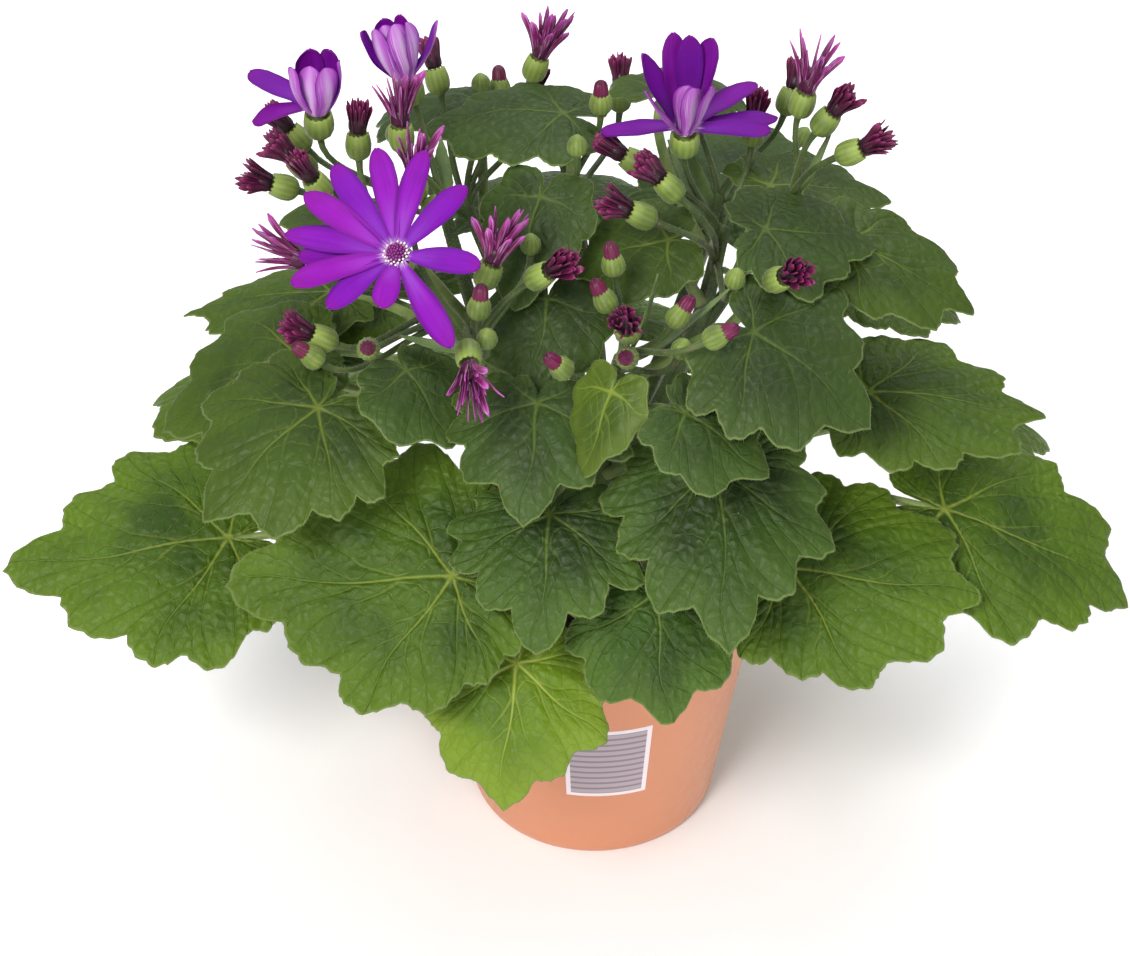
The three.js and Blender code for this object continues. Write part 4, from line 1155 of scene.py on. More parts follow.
# ---------------------------------------------------------------- flowers
@dataclass
class Flowers:
    """The open heads and the tufts of rolled florets.

    gap is the room between a disc and its cup. Petals start up to lift over the cup, and less the
    more they stand upright, by sink at most.
    """

    cup_height: float = 9.0
    gap: float = 0.35
    lift: float = 2.2
    sink: float = 1.4
    thick: float = 0.62
    columns: int = 24
    florets: int = 60
    disc: float = 3.3
    names: tuple[str, ...] = ("reach", "across", "under", "seed", "depth")
    # A few long ribbons round a shorter core, or one ragged brush.
    bundles: dict[Kind, tuple[Bundle, ...]] = field(
        default_factory=lambda: {
            Kind.RAY: (Bundle(13, 17.0, 27, 1.25), Bundle(14, 10.5, 15, 0.85, foot=2.2)),
            Kind.BRUSH: (Bundle(28, 9.6, 20, 1.05),),
        }
    )

    def petals(self, head: Head, skin: Skin) -> None:
        """Adds an open head's petals.

        At a share s of its length, a petal's midline leans from the axis by opening + curl s +
        belly (1 - 2 s) cos(opening), so that an upright petal bows out and comes in again. It
        starts at lift - sink cos(opening) over the cup. Its half breadth is narrow at the claw,
        widest at 0.66 of the length, and blunt with a shallow notch at the tip. Its edges rise over
        its midline, less so towards the tip.

        Args:
            head: the head.
            skin: what it is added to.
        """
        petals = PETALS[head.name]
        turn, opening, share = (np.array(column)[:, None] for column in zip(*petals.each))
        length = petals.size * share
        s = np.linspace(0, 1, 28)[None, :]
        upright = np.cos(np.radians(opening))
        lean = np.radians(opening + petals.curl * s + petals.belly * (1 - 2 * s) * upright)
        step = np.diff(s, axis=1, prepend=0) * length
        number = np.arange(len(turn))[:, None]
        out = petals.foot + np.cumsum(step * np.sin(lean), axis=1)
        start = self.cup_height + self.lift - self.sink * upright
        up = start + np.cumsum(step * np.cos(lean), axis=1)
        sway = np.radians(turn) + 0.05 * s**2 * np.sin(2.3 * number + head.at[0])
        centre = head.place(up, out, sway)
        wide = head.ways(sway)[1]
        claw = (0.34, 0.44) if petals.spread else (0.5, 0.62)
        form = (*claw, 0.72, 0.95, 1, 0.9, 0.66, 0.42, 0.14)
        form = np.interp(s, (0, 0.12, 0.3, 0.5, 0.66, 0.82, 0.92, 0.97, 1), form)
        half = petals.breadth * (form * (1 + 0.04 * np.sin(6 * s + number)))
        trough = half * (0.42 - 0.34 * s + 0.14 * np.sin(number * 1.9 + head.at[1]))
        grid = strip(centre, wide, half, self.thick, trough, self.columns)
        v, under = face_marks(self.columns)
        along = unit(np.gradient(centre, axis=-2))
        normal = np.cross(along, wide)[..., None, :]
        s, number = s[..., None], number[..., None]
        ridges = 0.09 * np.cos(v * 9.4) * np.sin(np.pi * s) * (1 - v**2)
        wave = 0.5 * np.sin(s * 9 + 2.1 * number + v * 1.2) * s * v**2
        bite = -0.03 * length[..., None] * np.exp(-((v / 0.22) ** 2))
        notch = bite * np.clip((s - 0.9) / 0.1, 0, 1)
        grid = grid + normal * (ridges + wave)[..., None] + along[..., None, :] * notch[..., None]
        own = wobble(1.0, number)
        skin.add(grid, reach=s, across=v, under=under, seed=own, depth=petals.depth)

    def eye(self, head: Head, skin: Skin) -> None:
        """Adds the domed disc, and small florets with round tops on it in a sunflower's spiral.

        Floret k stands at radius R sqrt((k + 0.5) / florets) and angle 2.4 k, upright in the middle
        and leaning out by 25 degrees at the edge of the disc. R is the disc's radius on a spread
        head and half of it inside closed petals.

        Args:
            head: the head.
            skin: what it is added to.
        """
        spread = PETALS[head.name].spread
        base, size = self.cup_height + self.gap, 1.0 if spread else 0.85
        outline = profile(((0, 2.2), (0.1, 3.3), (1.2, 3.5), (2.4, 3.2), (3.4, 2.2), (3.8, 0.8)), 9)
        body = head.place(base + outline[:, :1], size * outline[:, 1:], around(24)[None, :])
        skin.add(body, finish=int(spread), reach=0.25, under=1.0)
        k = np.arange(self.florets)[:, None]
        radius = self.disc * (1 if spread else 0.5) * np.sqrt((k + 0.5) / self.florets)
        s = np.linspace(0, 1, 6)[None, :]
        lean = np.radians(25) * radius / self.disc
        reach = 2.0 + 0.5 * wobble(2.0, k)
        up = base + 3.6 - 0.14 * radius**2 + reach * s * np.cos(lean) - 0.6
        centre = head.place(up, radius + reach * s * np.sin(lean), SPIRAL * k)
        form = np.interp(s, (0, 0.55, 0.75, 0.9, 1), (0.9, 0.8, 1.35, 1.2, 0.5))
        grid, across = tube(centre, 0.3 * form + 0 * radius, 6), radius[..., None] / self.disc
        own = wobble(3.0, k)[..., None]
        skin.add(grid, finish=1, reach=s[..., None], across=across, seed=own)

    def build(self, petal: Material, disc: Material, florets: dict[Kind, Material]) -> None:
        """Makes the open heads and the tufts.

        Args:
            petal: the finish of the open petals.
            disc: the finish of the discs.
            florets: the finish of each kind of tuft.
        """
        for head in BLOOMS:
            skin = Skin(self.names)
            self.petals(head, skin)
            self.eye(head, skin)
            skin.piece(f"flower_{head.name[6:]}", [petal, disc], (head.name,))
        for head in TUFTED:
            skin = Skin(self.names)
            for bundle in self.bundles[head.kind]:
                bundle.add(head, skin)
            skin.piece(f"florets_{head.name[5:]}", [florets[head.kind]], (head.name,))


# ---------------------------------------------------------------- pot, label and soil
@dataclass
class Pot:
    """A thin moulded pot: a tapered wall, a rolled rim band and a flat base with drain holes.

    Its label lies on the wall between label_sides, measured round it from the front at the radius
    label_round, and between the heights label_ends.
    """

    base: float = 44
    top: float = 58
    height: float = 102
    wall: float = 1.5
    floor: float = 2.5
    rim: float = 2.6
    rim_depth: float = 9
    columns: int = 144
    holes: int = 6
    hole: float = 4
    hole_ring: float = 29
    label_sides: tuple[float, float] = (-10.4, 18.8)
    label_ends: tuple[float, float] = (33.0, 67.8)
    label_round: float = 51.0
    label_proud: float = 0.14

    def outline(self) -> Array:
        """The outline that is turned: from the underside's middle over the rim and down inside.

        Each corner is cut short by its own length and filled with a quadratic Bezier curve.

        Returns:
            Radii and heights, (rows, 2).
        """
        low, shoulder = self.height - self.rim_depth, self.top + self.rim
        lip = self.top - self.wall + 1
        corners = np.array(
            [
                (0.6, 0.5, 0), (self.base - 5, 0.5, 0.4), (self.base - 4, 0, 0.4),
                (self.base - 1.6, 0, 1.0), (self.base + 0.05, 3.2, 1.6),
                (self.top - 0.35, low - 1.6, 0.8), (self.top + 0.05, low - 0.1, 0.4),
                (shoulder, low, 0.9), (shoulder + 0.15, self.height - 1.2, 0.9),
                (shoulder - 0.9, self.height, 0.8), (lip + 0.9, self.height, 0.8),
                (lip - 0.1, self.height - 2, 0.9), (self.base - self.wall, self.floor, 1.2),
                (0.6, self.floor, 0),
            ]
        )
        points, reach = corners[:, :2], corners[:, 2:]
        before, after = unit(points[:-2] - points[1:-1]), unit(points[2:] - points[1:-1])
        middle, cut = points[1:-1], reach[1:-1]
        t = np.linspace(0, 1, 6)[None, :, None]
        start, end = middle + before * cut, middle + after * cut
        arcs = (1 - t) ** 2 * start[:, None] + 2 * t * (1 - t) * middle[:, None]
        arcs = arcs + t**2 * end[:, None]
        return np.concatenate([points[:1], arcs.reshape(-1, 2), points[-1:]])

    def radius_at(self, height: Array) -> Array:
        """The wall's outer radius at a height, between the foot and the rim band."""
        ends = (3.2, self.height - self.rim_depth - 1.6)
        return np.interp(height, ends, (self.base + 0.05, self.top - 0.35))

    def shell(self, plastic: Material) -> None:
        """Makes the pot's shell, with the drain holes cut through its base.

        Args:
            plastic: its finish.
        """
        outline = self.outline()
        skin = Skin(("inside",))
        # The inside faces take painted shade in their finish.
        inside = (np.arange(len(outline)) > np.argmax(outline[:, 1]) + 6)[:, None] * 1.0
        skin.add(turned(outline[:, :1], around(self.columns), outline[:, 1:]), inside=inside)
        pot = skin.piece("nursery_pot", [plastic], ("pot",))
        cutter = self.drains()
        cut = pot.modifiers.new("drains", "BOOLEAN")
        cut.object, cut.operation, cut.solver = cutter, "DIFFERENCE", "EXACT"
        solved = pot.evaluated_get(bpy.context.evaluated_depsgraph_get())
        pot.data = bpy.data.meshes.new_from_object(solved)
        pot.data.name = "nursery_pot"
        pot.modifiers.clear()
        bpy.data.objects.remove(cutter)
        pot.data.set_sharp_from_angle(angle=math.radians(40))

    def drains(self) -> bpy.types.Object:
        """Makes the drain holes' room: upright rods that reach through the base.

        Returns:
            One object with all of them.
        """
        rods = turned(self.hole, around(28), np.array([[-3.0], [6.0]]))
        places = turned(self.hole_ring, around(self.holes), 0.0)[:, None, None]
        skin = Skin()
        skin.add(places + rods)
        mesh = bpy.data.meshes.new("drain_room")
        faces = [[int(k) for k in face if k >= 0] for face in np.concatenate(skin.faces)]
        mesh.from_pydata(np.concatenate(skin.points) * MM, [], faces)
        return stand("drain_room", mesh)

    def label(self, film: Material) -> None:
        """Makes the label: a thin curved plate on the wall, with a flat map of its own.

        Its section at each azimuth is a thin loop: up the outer face, over, and down the inner one.

        Args:
            film: its finish.
        """
        (left, right), (bottom, top) = self.label_sides, self.label_ends
        x = np.linspace(left, right, 40)
        x[1], x[-2] = left + 0.25, right - 0.25
        rise = np.concatenate([[0, 0.006], np.linspace(0.05, 0.95, 12), [0.994, 1]])
        z = bottom + (top - bottom) * np.concatenate([rise, rise[::-1]])
        face = [0.03, *np.full(len(rise) - 2, self.label_proud), 0.03]
        lift = np.concatenate([face, np.full(len(rise), -0.25)])
        turn = -np.pi / 2 + x[:, None] / self.label_round
        grid = turned(self.radius_at(z) + lift, turn, z)
        skin = Skin(("label_x", "label_z"))
        skin.add(grid, label_x=x[:, None] - left, label_z=(z - bottom)[None, :])
        made = skin.piece("label", [film], (), ("label_x", "label_z"))
        made.data.set_sharp_from_angle(angle=math.radians(50))

    def build(self, plastic: Material, film: Material) -> None:
        """Makes the pot and its label, each with its own finish."""
        self.shell(plastic)
        self.label(film)


@dataclass
class Soil:
    """Peaty potting mix: a crowned body that fills the pot, with loose crumbs and fibres on it."""

    level: float = 89
    crest: float = 3.5
    bottom: float = 2.95
    edge: float = 55.2
    crumbs: int = 1100
    crumb_edge: float = 53.5
    seed: int = 41
    # Size and rate of each kind of lump.
    lumps: Rows = ((0.75, 0.32), (0.45, 0.83), (0.22, 2.1))

    def top(self, x: Array, y: Array) -> Array:
        """Height of the surface.

        It is level + crest sin(pi/2 (1 - r / edge)) plus three kinds of lumps, each a product of
        two sines, that are smaller at the edge.

        Args:
            x: places across.
            y: places front to back.

        Returns:
            The heights.
        """
        r = np.clip(np.hypot(x, y) / self.edge, 0, 1)
        lumps = 0
        for size, rate in self.lumps:
            warp = 5 * size + 0.6 * np.sin(x * rate * 0.7)
            lumps = lumps + size * np.sin(x * rate + 3 * size) * np.sin(y * rate * 1.1 + warp)
        crown = self.level + self.crest * np.sin(np.pi / 2 * (1 - r))
        return crown + lumps * np.clip((1 - r) / 0.06, 0.2, 1)

    def body(self, skin: Skin) -> None:
        """Adds the body: up the pot's inner wall and over the lumpy crown to the middle.

        Args:
            skin: what it is added to.
        """
        phi = around(200)
        wall = np.array([(41.8, 0.0), (42.9, 0.02), (48.0, 0.42), (53.5, 0.86), (54.9, 0.985)])
        z = self.bottom + wall[:, 1:] * (self.level - self.bottom)
        radius = np.linspace(self.edge, 0.5, 70)[:, None]
        x, y = radius * np.cos(phi), radius * np.sin(phi)
        crown = np.stack([x, y, self.top(x, y)], -1)
        skin.add(np.concatenate([turned(wall[:, :1], phi, z), crown]), seed=0.0)

    def grains(self, skin: Skin) -> None:
        """Adds the crumbs: balls 1 to 3 mm across, each squeezed and dented by its own sines.

        A ball's place at angles u and v is d (cos v cos u, cos v sin u, 0.75 sin v) with the
        distance d = size (1 + 0.25 sin(3u + a) cos(2v + b)). One in eight is 2.6 times as long.
        Each is tipped and spun by an angle of its own, and its middle stands 0.2 size over the
        surface.

        Args:
            skin: what they are added to.
        """
        rng = np.random.default_rng(self.seed)
        shape = (self.crumbs, 1, 1)
        r, turn = self.crumb_edge * np.sqrt(rng.random(shape)), 2 * np.pi * rng.random(shape)
        size = 0.55 + 1.1 * rng.random(shape) ** 3
        long = np.where(rng.random(shape) < 0.12, 2.6, 1.0)
        v, u = np.radians([[-55], [-10], [30], [65]]), around(7)
        a, b, spin, tip = (rng.random(shape) * 2 * np.pi for _ in range(4))
        dent = size * (1 + 0.25 * np.sin(3 * u + a) * np.cos(2 * v + b))
        px, py = dent * np.cos(v) * np.cos(u) * long, dent * np.cos(v) * np.sin(u)
        pz = dent * 0.75 * np.sin(v) + 0.2 * px * np.sin(tip)
        x0, y0 = r * np.cos(turn), r * np.sin(turn)
        x = x0 + px * np.cos(spin) - py * np.sin(spin)
        y = y0 + px * np.sin(spin) + py * np.cos(spin)
        z = self.top(x0, y0) + 0.2 * size + pz
        skin.add(np.stack([x, y, z], -1), seed=rng.random(shape))

    def build(self, peat: Material) -> None:
        """Makes the soil.

        Args:
            peat: its finish.
        """
        skin = Skin(("seed",))
        self.body(skin)
        self.grains(skin)
        skin.piece("potting_mix", [peat], ("soil",))


# ---------------------------------------------------------------- finishes
Socket = bpy.types.NodeSocket
Value = Socket | float | str | tuple[float, ...]


@dataclass
class Recipe:
    """A material under construction, with shorthand for the nodes that the finishes share."""

    name: str

    def __post_init__(self) -> None:
        """Makes the empty material."""
        self.material = bpy.data.materials.new(self.name)
        self.material.use_nodes = True
        self.tree = self.material.node_tree
        self.tree.nodes.clear()

    def give(self, socket: Socket, value: Value | None) -> None:
        """Fills a shader's input.

        Args:
            socket: the input.
            value: a link, a constant or a hex colour. None leaves the input as it is.
        """
        if isinstance(value, Socket):
            self.tree.links.new(value, socket)
        elif value is not None:
            socket.default_value = linear(value) if isinstance(value, str) else value

    def put(self, kind: str, *inputs: Value | None, out: int = 0, **settings: object) -> Socket:
        """Adds a node, fills its inputs in order, and gives back one of its outputs.

        Args:
            kind: the node's type without the words ShaderNode.
            inputs: a link, a constant, a hex colour or None for each input that the node shows.
            out: which of the outputs it shows to give back.
            settings: the node's own properties.

        Returns:
            The chosen output.
        """
        node = self.tree.nodes.new("ShaderNode" + kind)
        for name, value in settings.items():
            setattr(node, name, value)
        for socket, value in zip([s for s in node.inputs if s.enabled], inputs):
            self.give(socket, value)
        return [s for s in node.outputs if s.enabled][out]

    def mark(self, name: str) -> Socket:
        """A mark of the mesh as a number."""
        return self.put("Attribute", attribute_name=name, out=2)

    def sum(self, operation: str, *values: Value) -> Socket:
        """One arithmetic step."""
        return self.put("Math", *values, operation=operation)

    def times(self, first: Value, second: Value) -> Socket:
        """The product of two numbers."""
        return self.sum("MULTIPLY", first, second)

    def ramp(
        self, value: Value, low: float, high: float, at_low: float = 0.0, at_high: float = 1.0
    ) -> Socket:
        """Maps a number smoothly onto another range, and holds the ends.

        Args:
            value: the number.
            low: where the slope starts.
            high: where it ends.
            at_low: the result up to low.
            at_high: the result from high on.

        Returns:
            The mapped number.
        """
        return self.put(
            "MapRange", value, low, high, at_low, at_high, interpolation_type="SMOOTHSTEP"
        )

    def blend(self, share: Value, first: Value, second: Value) -> Socket:
        """Goes from the first colour to the second as share goes from 0 to 1."""
        return self.put("Mix", share, first, second, data_type="RGBA")

    def layers(self, tone: Value, *coats: tuple[Value, Value]) -> Value:
        """Lays coats of colour over a tone, one after another.

        Args:
            tone: the colour underneath.
            coats: the share and the colour of each.

        Returns:
            The final colour.
        """
        for share, colour in coats:
            tone = self.blend(share, tone, colour)
        return tone

    def speckle(self, scale: float, detail: float = 3.0, rough: float = 0.6) -> Socket:
        """Fractal noise in the object's own metres: a scale of 500 makes lumps of 2 mm."""
        return self.put("TexNoise", self.put("TexCoord", out=3), scale, detail, rough)

    def bump(self, height: Socket, depth: float, strength: Value = 1.0) -> Socket:
        """A bump whose full height is depth, in millimetres."""
        return self.put("Bump", strength, depth * MM, None, height)

    def principled(self, normal: Socket | None = None, **values: Value) -> Socket:
        """A Principled shader.

        Args:
            normal: the bumped normal, where there is one.
            values: its other inputs by name, with underscores for spaces.

        Returns:
            The shader.
        """
        shader = self.put("BsdfPrincipled")
        for key, value in {**values, "Normal": normal}.items():
            self.give(shader.node.inputs[key.replace("_", " ")], value)
        return shader

    def lit(self, share: float, shine: Socket, tint: Value, normal: Socket | None = None) -> Socket:
        """A surface that also lets a share of the light through from behind, in its tint."""
        return self.put("MixShader", share, shine, self.put("BsdfTranslucent", tint, normal))


class Finish:
    """What the finishes have in common: a material whose nodes their own paint() lays out."""

    def make(self, name: str) -> Material:
        """Builds the material.

        Args:
            name: its name.

        Returns:
            The material.
        """
        m = Recipe(name)
        output = m.tree.nodes.new("ShaderNodeOutputMaterial")
        m.give(output.inputs["Surface"], self.paint(m))
        return m.material

    def paint(self, m: Recipe) -> Socket:
        """Lays out the nodes in a recipe and gives back the shader."""
        raise NotImplementedError


@dataclass(frozen=True)
class LeafTissue(Finish):
    """A living cineraria leaf: soft, satiny and quilted by its net of veins.

    The eye gets low pillows 4 mm across with seams darkened by painted shade, main veins paler than
    the blade that sink into it and fade outwards, with painted shade in the valleys beside them, a
    thin light margin, cloudy greens that grow paler towards the margin as painted light, painted
    shade that makes the upper leaves darker and duller, a grey green back, and light that comes
    through from behind.
    """

    deep: str
    body: str
    # The outer blade's paler green is painted light, stronger towards the margin.
    pale: str
    vein: str
    relief: float
    # The painted shade that darkens the upper leaves.
    full_shade: str = "#2a361a"
    margin: str = "#74854a"
    underside: str = "#8d9a78"
    back_vein: str = "#a7b088"
    sunlit: str = "#7fa02a"
    # Cells to a millimetre of the flat map: they are about 4 mm and 1.6 mm across.
    cells: tuple[float, float] = (0.25, 0.62)

    def paint(self, m: Recipe) -> Socket:
        """Draws the cells and veins, then lays the greens over one another, by place and by the
        leaf's height, where painted shade darkens the upper leaves.

        Args:
            m: the recipe.

        Returns:
            The shader.
        """
        flat = m.put("UVMap", uv_map="flat")
        jitter = m.put("TexNoise", flat, 0.3, 1.0, 0.4, out=1)
        shift = m.put("VectorMath", jitter, (0.5, 0.5, 0.5), operation="SUBTRACT")
        bent = m.put("VectorMath", shift, (2.0, 2.0, 0), flat, operation="MULTIPLY_ADD")
        cells, small = (
            m.put("TexVoronoi", bent, scale, feature="DISTANCE_TO_EDGE", voronoi_dimensions="2D")
            for scale in self.cells
        )
        seam = m.ramp(cells, 0.0, 0.13, 1.0, 0.0)
        reach, age = m.mark("reach"), m.mark("age")
        width = m.ramp(reach, 0.0, 0.8, 0.42, 0.13)
        main = m.sum("DIVIDE", m.sum("ABSOLUTE", m.mark("vein")), width)
        veins, valley = m.ramp(main, 0.4, 1.9, 1.0, 0.0), m.ramp(main, 1.0, 5.0, 1.0, 0.0)
        for side in ("side_1", "side_2", "side_3"):
            thin = m.sum("DIVIDE", m.sum("ABSOLUTE", m.mark(side)), m.times(width, 0.6))
            veins = m.sum("MAXIMUM", veins, m.ramp(thin, 0.4, 2.2, 0.42, 0.0))
            valley = m.sum("MAXIMUM", valley, m.ramp(thin, 1.0, 5.0, 0.8, 0.0))
        cloud = m.put("TexNoise", flat, 0.04, 2.0, 0.5)
        # Painted shade in the seams between the pillows and in the valleys beside the veins.
        hollow_shade = m.times(m.sum("MAXIMUM", valley, m.times(seam, 0.6)), 0.4)
        fade = m.times(m.ramp(reach, 0.0, 0.95, 0.8, 0.3), m.ramp(age, 0.0, 1.0, 1.0, 0.5))
        tone = m.layers(
            self.deep,
            (m.ramp(cloud, 0.35, 0.62), self.body),
            # Painted light: the blade grows paler towards the margin.
            (m.ramp(reach, 0.45, 1.0, 0.0, 0.6), self.pale),
            # Painted shade that darkens the upper leaves.
            (m.times(age, 0.62), self.full_shade),
            (hollow_shade, self.deep),
            (m.times(veins, fade), self.vein),
            (m.ramp(reach, 0.98, 1.0, 0.0, 0.6), self.margin),
            (m.mark("under"), m.blend(m.times(veins, 0.6), self.underside, self.back_vein)),
        )
        height = m.sum("SUBTRACT", m.ramp(cells, 0.0, 0.5), m.times(veins, 0.3))
        height = m.sum("SUBTRACT", height, m.times(valley, 0.4))
        height = m.sum("ADD", height, m.times(m.ramp(small, 0.0, 0.4), 0.1))
        normal = m.bump(height, self.relief, m.ramp(age, 0.0, 1.0, 0.85, 0.5))
        gloss = m.ramp(seam, 0.0, 1.0, 0.5, 0.62)
        shine = m.principled(
            normal, Base_Color=tone, Roughness=gloss, IOR=1.42, Specular_IOR_Level=0.32
        )
        return m.lit(0.1, shine, m.blend(0.55, tone, self.sunlit), normal)


@dataclass(frozen=True)
class Down(Finish):
    """Short plant hairs: thin clear cell walls, so a pale grey green haze along the outlines."""

    tone: str = "#b9c39a"

    def paint(self, m: Recipe) -> Socket:
        """Half of it shines and half lets light through."""
        return m.lit(0.5, m.principled(Base_Color=self.tone, Roughness=0.5, IOR=1.4), self.tone)


@dataclass(frozen=True)
class Stalk(Finish):
    """Living green stalk: ribbed, juicy and finely hairy, so cloudy and streaked with a soft sheen.

    On a cup it has dark seams between the green scales and a paler lip.
    """

    low: str
    high: str
    flush: str = "#7a5a58"
    flushed: float = 0.25
    through: float = 0.12
    seam: str = "#36481a"
    lip: str = "#a8bf5c"
    seamed: float = 0.0
    sheen: str = "#e3e8cf"

    def paint(self, m: Recipe) -> Socket:
        """Two greens in clouds of 14 mm, with reddish streaks of 2 mm and, on a cup, its seams.

        Args:
            m: the recipe.

        Returns:
            The shader.
        """
        streak = m.ramp(m.speckle(420.0, 2.0), 0.52, 0.72)
        tone = m.layers(
            self.low,
            (m.ramp(m.speckle(70.0), 0.35, 0.65), self.high),
            (m.times(streak, self.flushed), self.flush),
        )
        if self.seamed:
            tone = m.layers(
                tone,
                (m.ramp(m.mark("across"), 0.0, 0.8, self.seamed, 0.0), self.seam),
                (m.ramp(m.mark("reach"), 0.5, 1.0, 0.0, 0.35), self.lip),
            )
        normal = m.bump(m.speckle(1500.0, 2.0), 0.18, 0.7)
        soft = {"Sheen_Weight": 0.2, "Sheen_Tint": self.sheen}
        shine = m.principled(normal, Base_Color=tone, Roughness=0.48, IOR=1.42, **soft)
        return m.lit(self.through, shine, tone, normal)


@dataclass(frozen=True)
class PetalTissue(Finish):
    """A cineraria petal: velvety violet, darker at its edges, with a white claw and a lilac back.

    Petals lean to blue or to red by their own seeds, and a head's depth darkens all of its petals.
    The darker edges of the face are partly the petal's own margin and partly painted shade where
    the petals meet.
    """

    face: str = "#860cac"
    shade: str = "#4c0664"
    glow: str = "#a25cd8"
    bright: str = "#9424c0"
    dim: str = "#5c0a88"
    bluer: str = "#6a0ca4"
    redder: str = "#a010a8"
    tip: str = "#820c8c"
    deep: str = "#4c0660"
    claw: str = "#e6cdf0"
    back: str = "#b862cc"
    pale: str = "#ecd2f4"
    back_deep: str = "#94249c"
    back_edge: str = "#801a94"
    sunlit: str = "#b614d8"

    def paint(self, m: Recipe) -> Socket:
        """Lays the face's violets over one another, then the back's, with lanes along the petal.

        Args:
            m: the recipe.

        Returns:
            The shader.
        """
        reach, across, seed = m.mark("reach"), m.mark("across"), m.mark("seed")
        aside, depth = m.sum("ABSOLUTE", across), m.mark("depth")
        lanes = m.put("CombineXYZ", m.times(across, 9.0), m.times(reach, 1.2), seed)
        streak = m.put("TexNoise", lanes, 1.6, 2.0, 0.5)
        # On the face, the darker edges are partly the petal's own margin and partly painted shade
        # where the petals meet.
        edge = m.ramp(aside, 0.5, 1.0, 0.0, 0.8)
        rim = m.sum("MAXIMUM", edge, m.ramp(m.speckle(90.0, 2.0), 0.4, 0.75, 0.0, 0.45))
        glow = m.times(m.ramp(reach, 0.15, 0.6, 0.5, 0.0), m.ramp(aside, 0.2, 0.8, 1.0, 0.2))
        root = m.sum("ADD", reach, m.times(streak, 0.22))
        face = m.layers(
            self.face,
            (rim, self.shade),
            (glow, self.glow),
            (m.ramp(streak, 0.46, 0.72, 0.0, 0.35), self.bright),
            (m.ramp(streak, 0.26, 0.46, 0.5, 0.0), self.dim),
            (m.ramp(seed, -0.2, 1.0, 0.0, 0.45), self.bluer),
            (m.ramp(seed, -1.0, 0.0, 0.35, 0.0), self.redder),
            (m.ramp(reach, 0.75, 1.0, 0.0, 0.5), self.tip),
            (depth, self.deep),
            (m.ramp(root, 0.12, 0.23, 0.9, 0.0), self.claw),
        )
        middle = m.ramp(aside, 0.0, 0.6, 0.85, 0.0)
        lines = m.sum("MAXIMUM", middle, m.ramp(streak, 0.44, 0.68, 0.0, 0.8))
        back = m.layers(
            self.back,
            (m.times(lines, m.ramp(reach, 0.55, 1.0, 1.0, 0.35)), self.pale),
            (m.times(depth, 0.8), self.back_deep),
            (m.times(edge, 0.9), self.back_edge),
        )
        tone = m.blend(m.mark("under"), face, back)
        height = m.sum("ADD", m.times(streak, 0.9), m.times(m.speckle(2600.0, 1.0), 0.2))
        normal = m.bump(height, 0.25, 0.6)
        shine = m.principled(
            normal, Base_Color=tone, Roughness=0.6, IOR=1.33, Specular_IOR_Level=0.3
        )
        return m.lit(0.18, shine, m.blend(0.5, tone, self.sunlit), normal)


@dataclass(frozen=True)
class FloretTissue(Finish):
    """Rolled florets: satiny magenta tubes, dark with painted shade where they are packed and
    brighter at the tips.
    """

    root: str
    body: str
    tip: str
    streak: str
    streaked: float
    sheen: str = "#f0b6dc"

    def paint(self, m: Recipe) -> Socket:
        """Runs from the root's tone, a painted shade, to the tip's, with pale threads, and darkens
        some florets.

        Args:
            m: the recipe.

        Returns:
            The shader.
        """
        reach, seed = m.mark("reach"), m.mark("seed")
        lanes = m.put("CombineXYZ", m.times(m.mark("across"), 2.0), reach, seed)
        thread = m.ramp(m.put("TexNoise", lanes, 2.4, 1.0, 0.5), 0.5, 0.68)
        # The root's tone is painted shade where the florets are packed; the last coat darkens some
        # florets by their own seeds.
        tone = m.layers(
            self.root,
            (m.ramp(reach, 0.05, 0.5), self.body),
            (m.ramp(reach, 0.7, 0.98), self.tip),
            (m.times(thread, self.streaked), self.streak),
            (m.ramp(seed, -1.0, 1.0, 0.3, 0.0), self.root),
        )
        normal = m.bump(m.speckle(1400.0, 1.0), 0.1, 0.5)
        soft = {"Sheen_Weight": 0.1, "Sheen_Tint": self.sheen}
        shine = m.principled(normal, Base_Color=tone, Roughness=0.42, IOR=1.4, **soft)
        return m.lit(0.1, shine, tone)


@dataclass(frozen=True)
class DiscTissue(Finish):
    """The disc's florets: plum tubes packed in the middle, and white dusty tips round the edge."""

    dark: str = "#5a1460"
    middle: str = "#8f3284"
    tip: str = "#f4e4ee"

    def paint(self, m: Recipe) -> Socket:
        """Whitens the tips of the outer florets.

        Args:
            m: the recipe.

        Returns:
            The shader.
        """
        edge = m.ramp(m.sum("ADD", m.mark("across"), m.times(m.mark("seed"), 0.1)), 0.7, 0.86)
        tip = m.blend(edge, self.middle, self.tip)
        tone = m.blend(m.ramp(m.mark("reach"), 0.4, 0.8), self.dark, tip)
        return m.principled(Base_Color=tone, Roughness=0.6, IOR=1.4)


@dataclass(frozen=True)
class Peat(Finish):
    """Moist peat-based potting mix: nearly black brown crumbs and a few paler bits of bark."""

    dark: str = "#1c1410"
    crumb: str = "#4a3426"
    bark: str = "#8a6a4a"

    def paint(self, m: Recipe) -> Socket:
        """Two browns in grains of 2.6 mm, and bark's tone on some of the loose crumbs.

        Args:
            m: the recipe.

        Returns:
            The shader.
        """
        tone = m.layers(
            self.dark,
            (m.ramp(m.speckle(380.0, 5.0), 0.35, 0.7), self.crumb),
            (m.ramp(m.mark("seed"), 0.86, 0.95, 0.0, 0.7), self.bark),
        )
        normal = m.bump(m.speckle(900.0, 5.0, 0.7), 1.2, 0.9)
        return m.principled(normal, Base_Color=tone, Roughness=0.88, IOR=1.45)


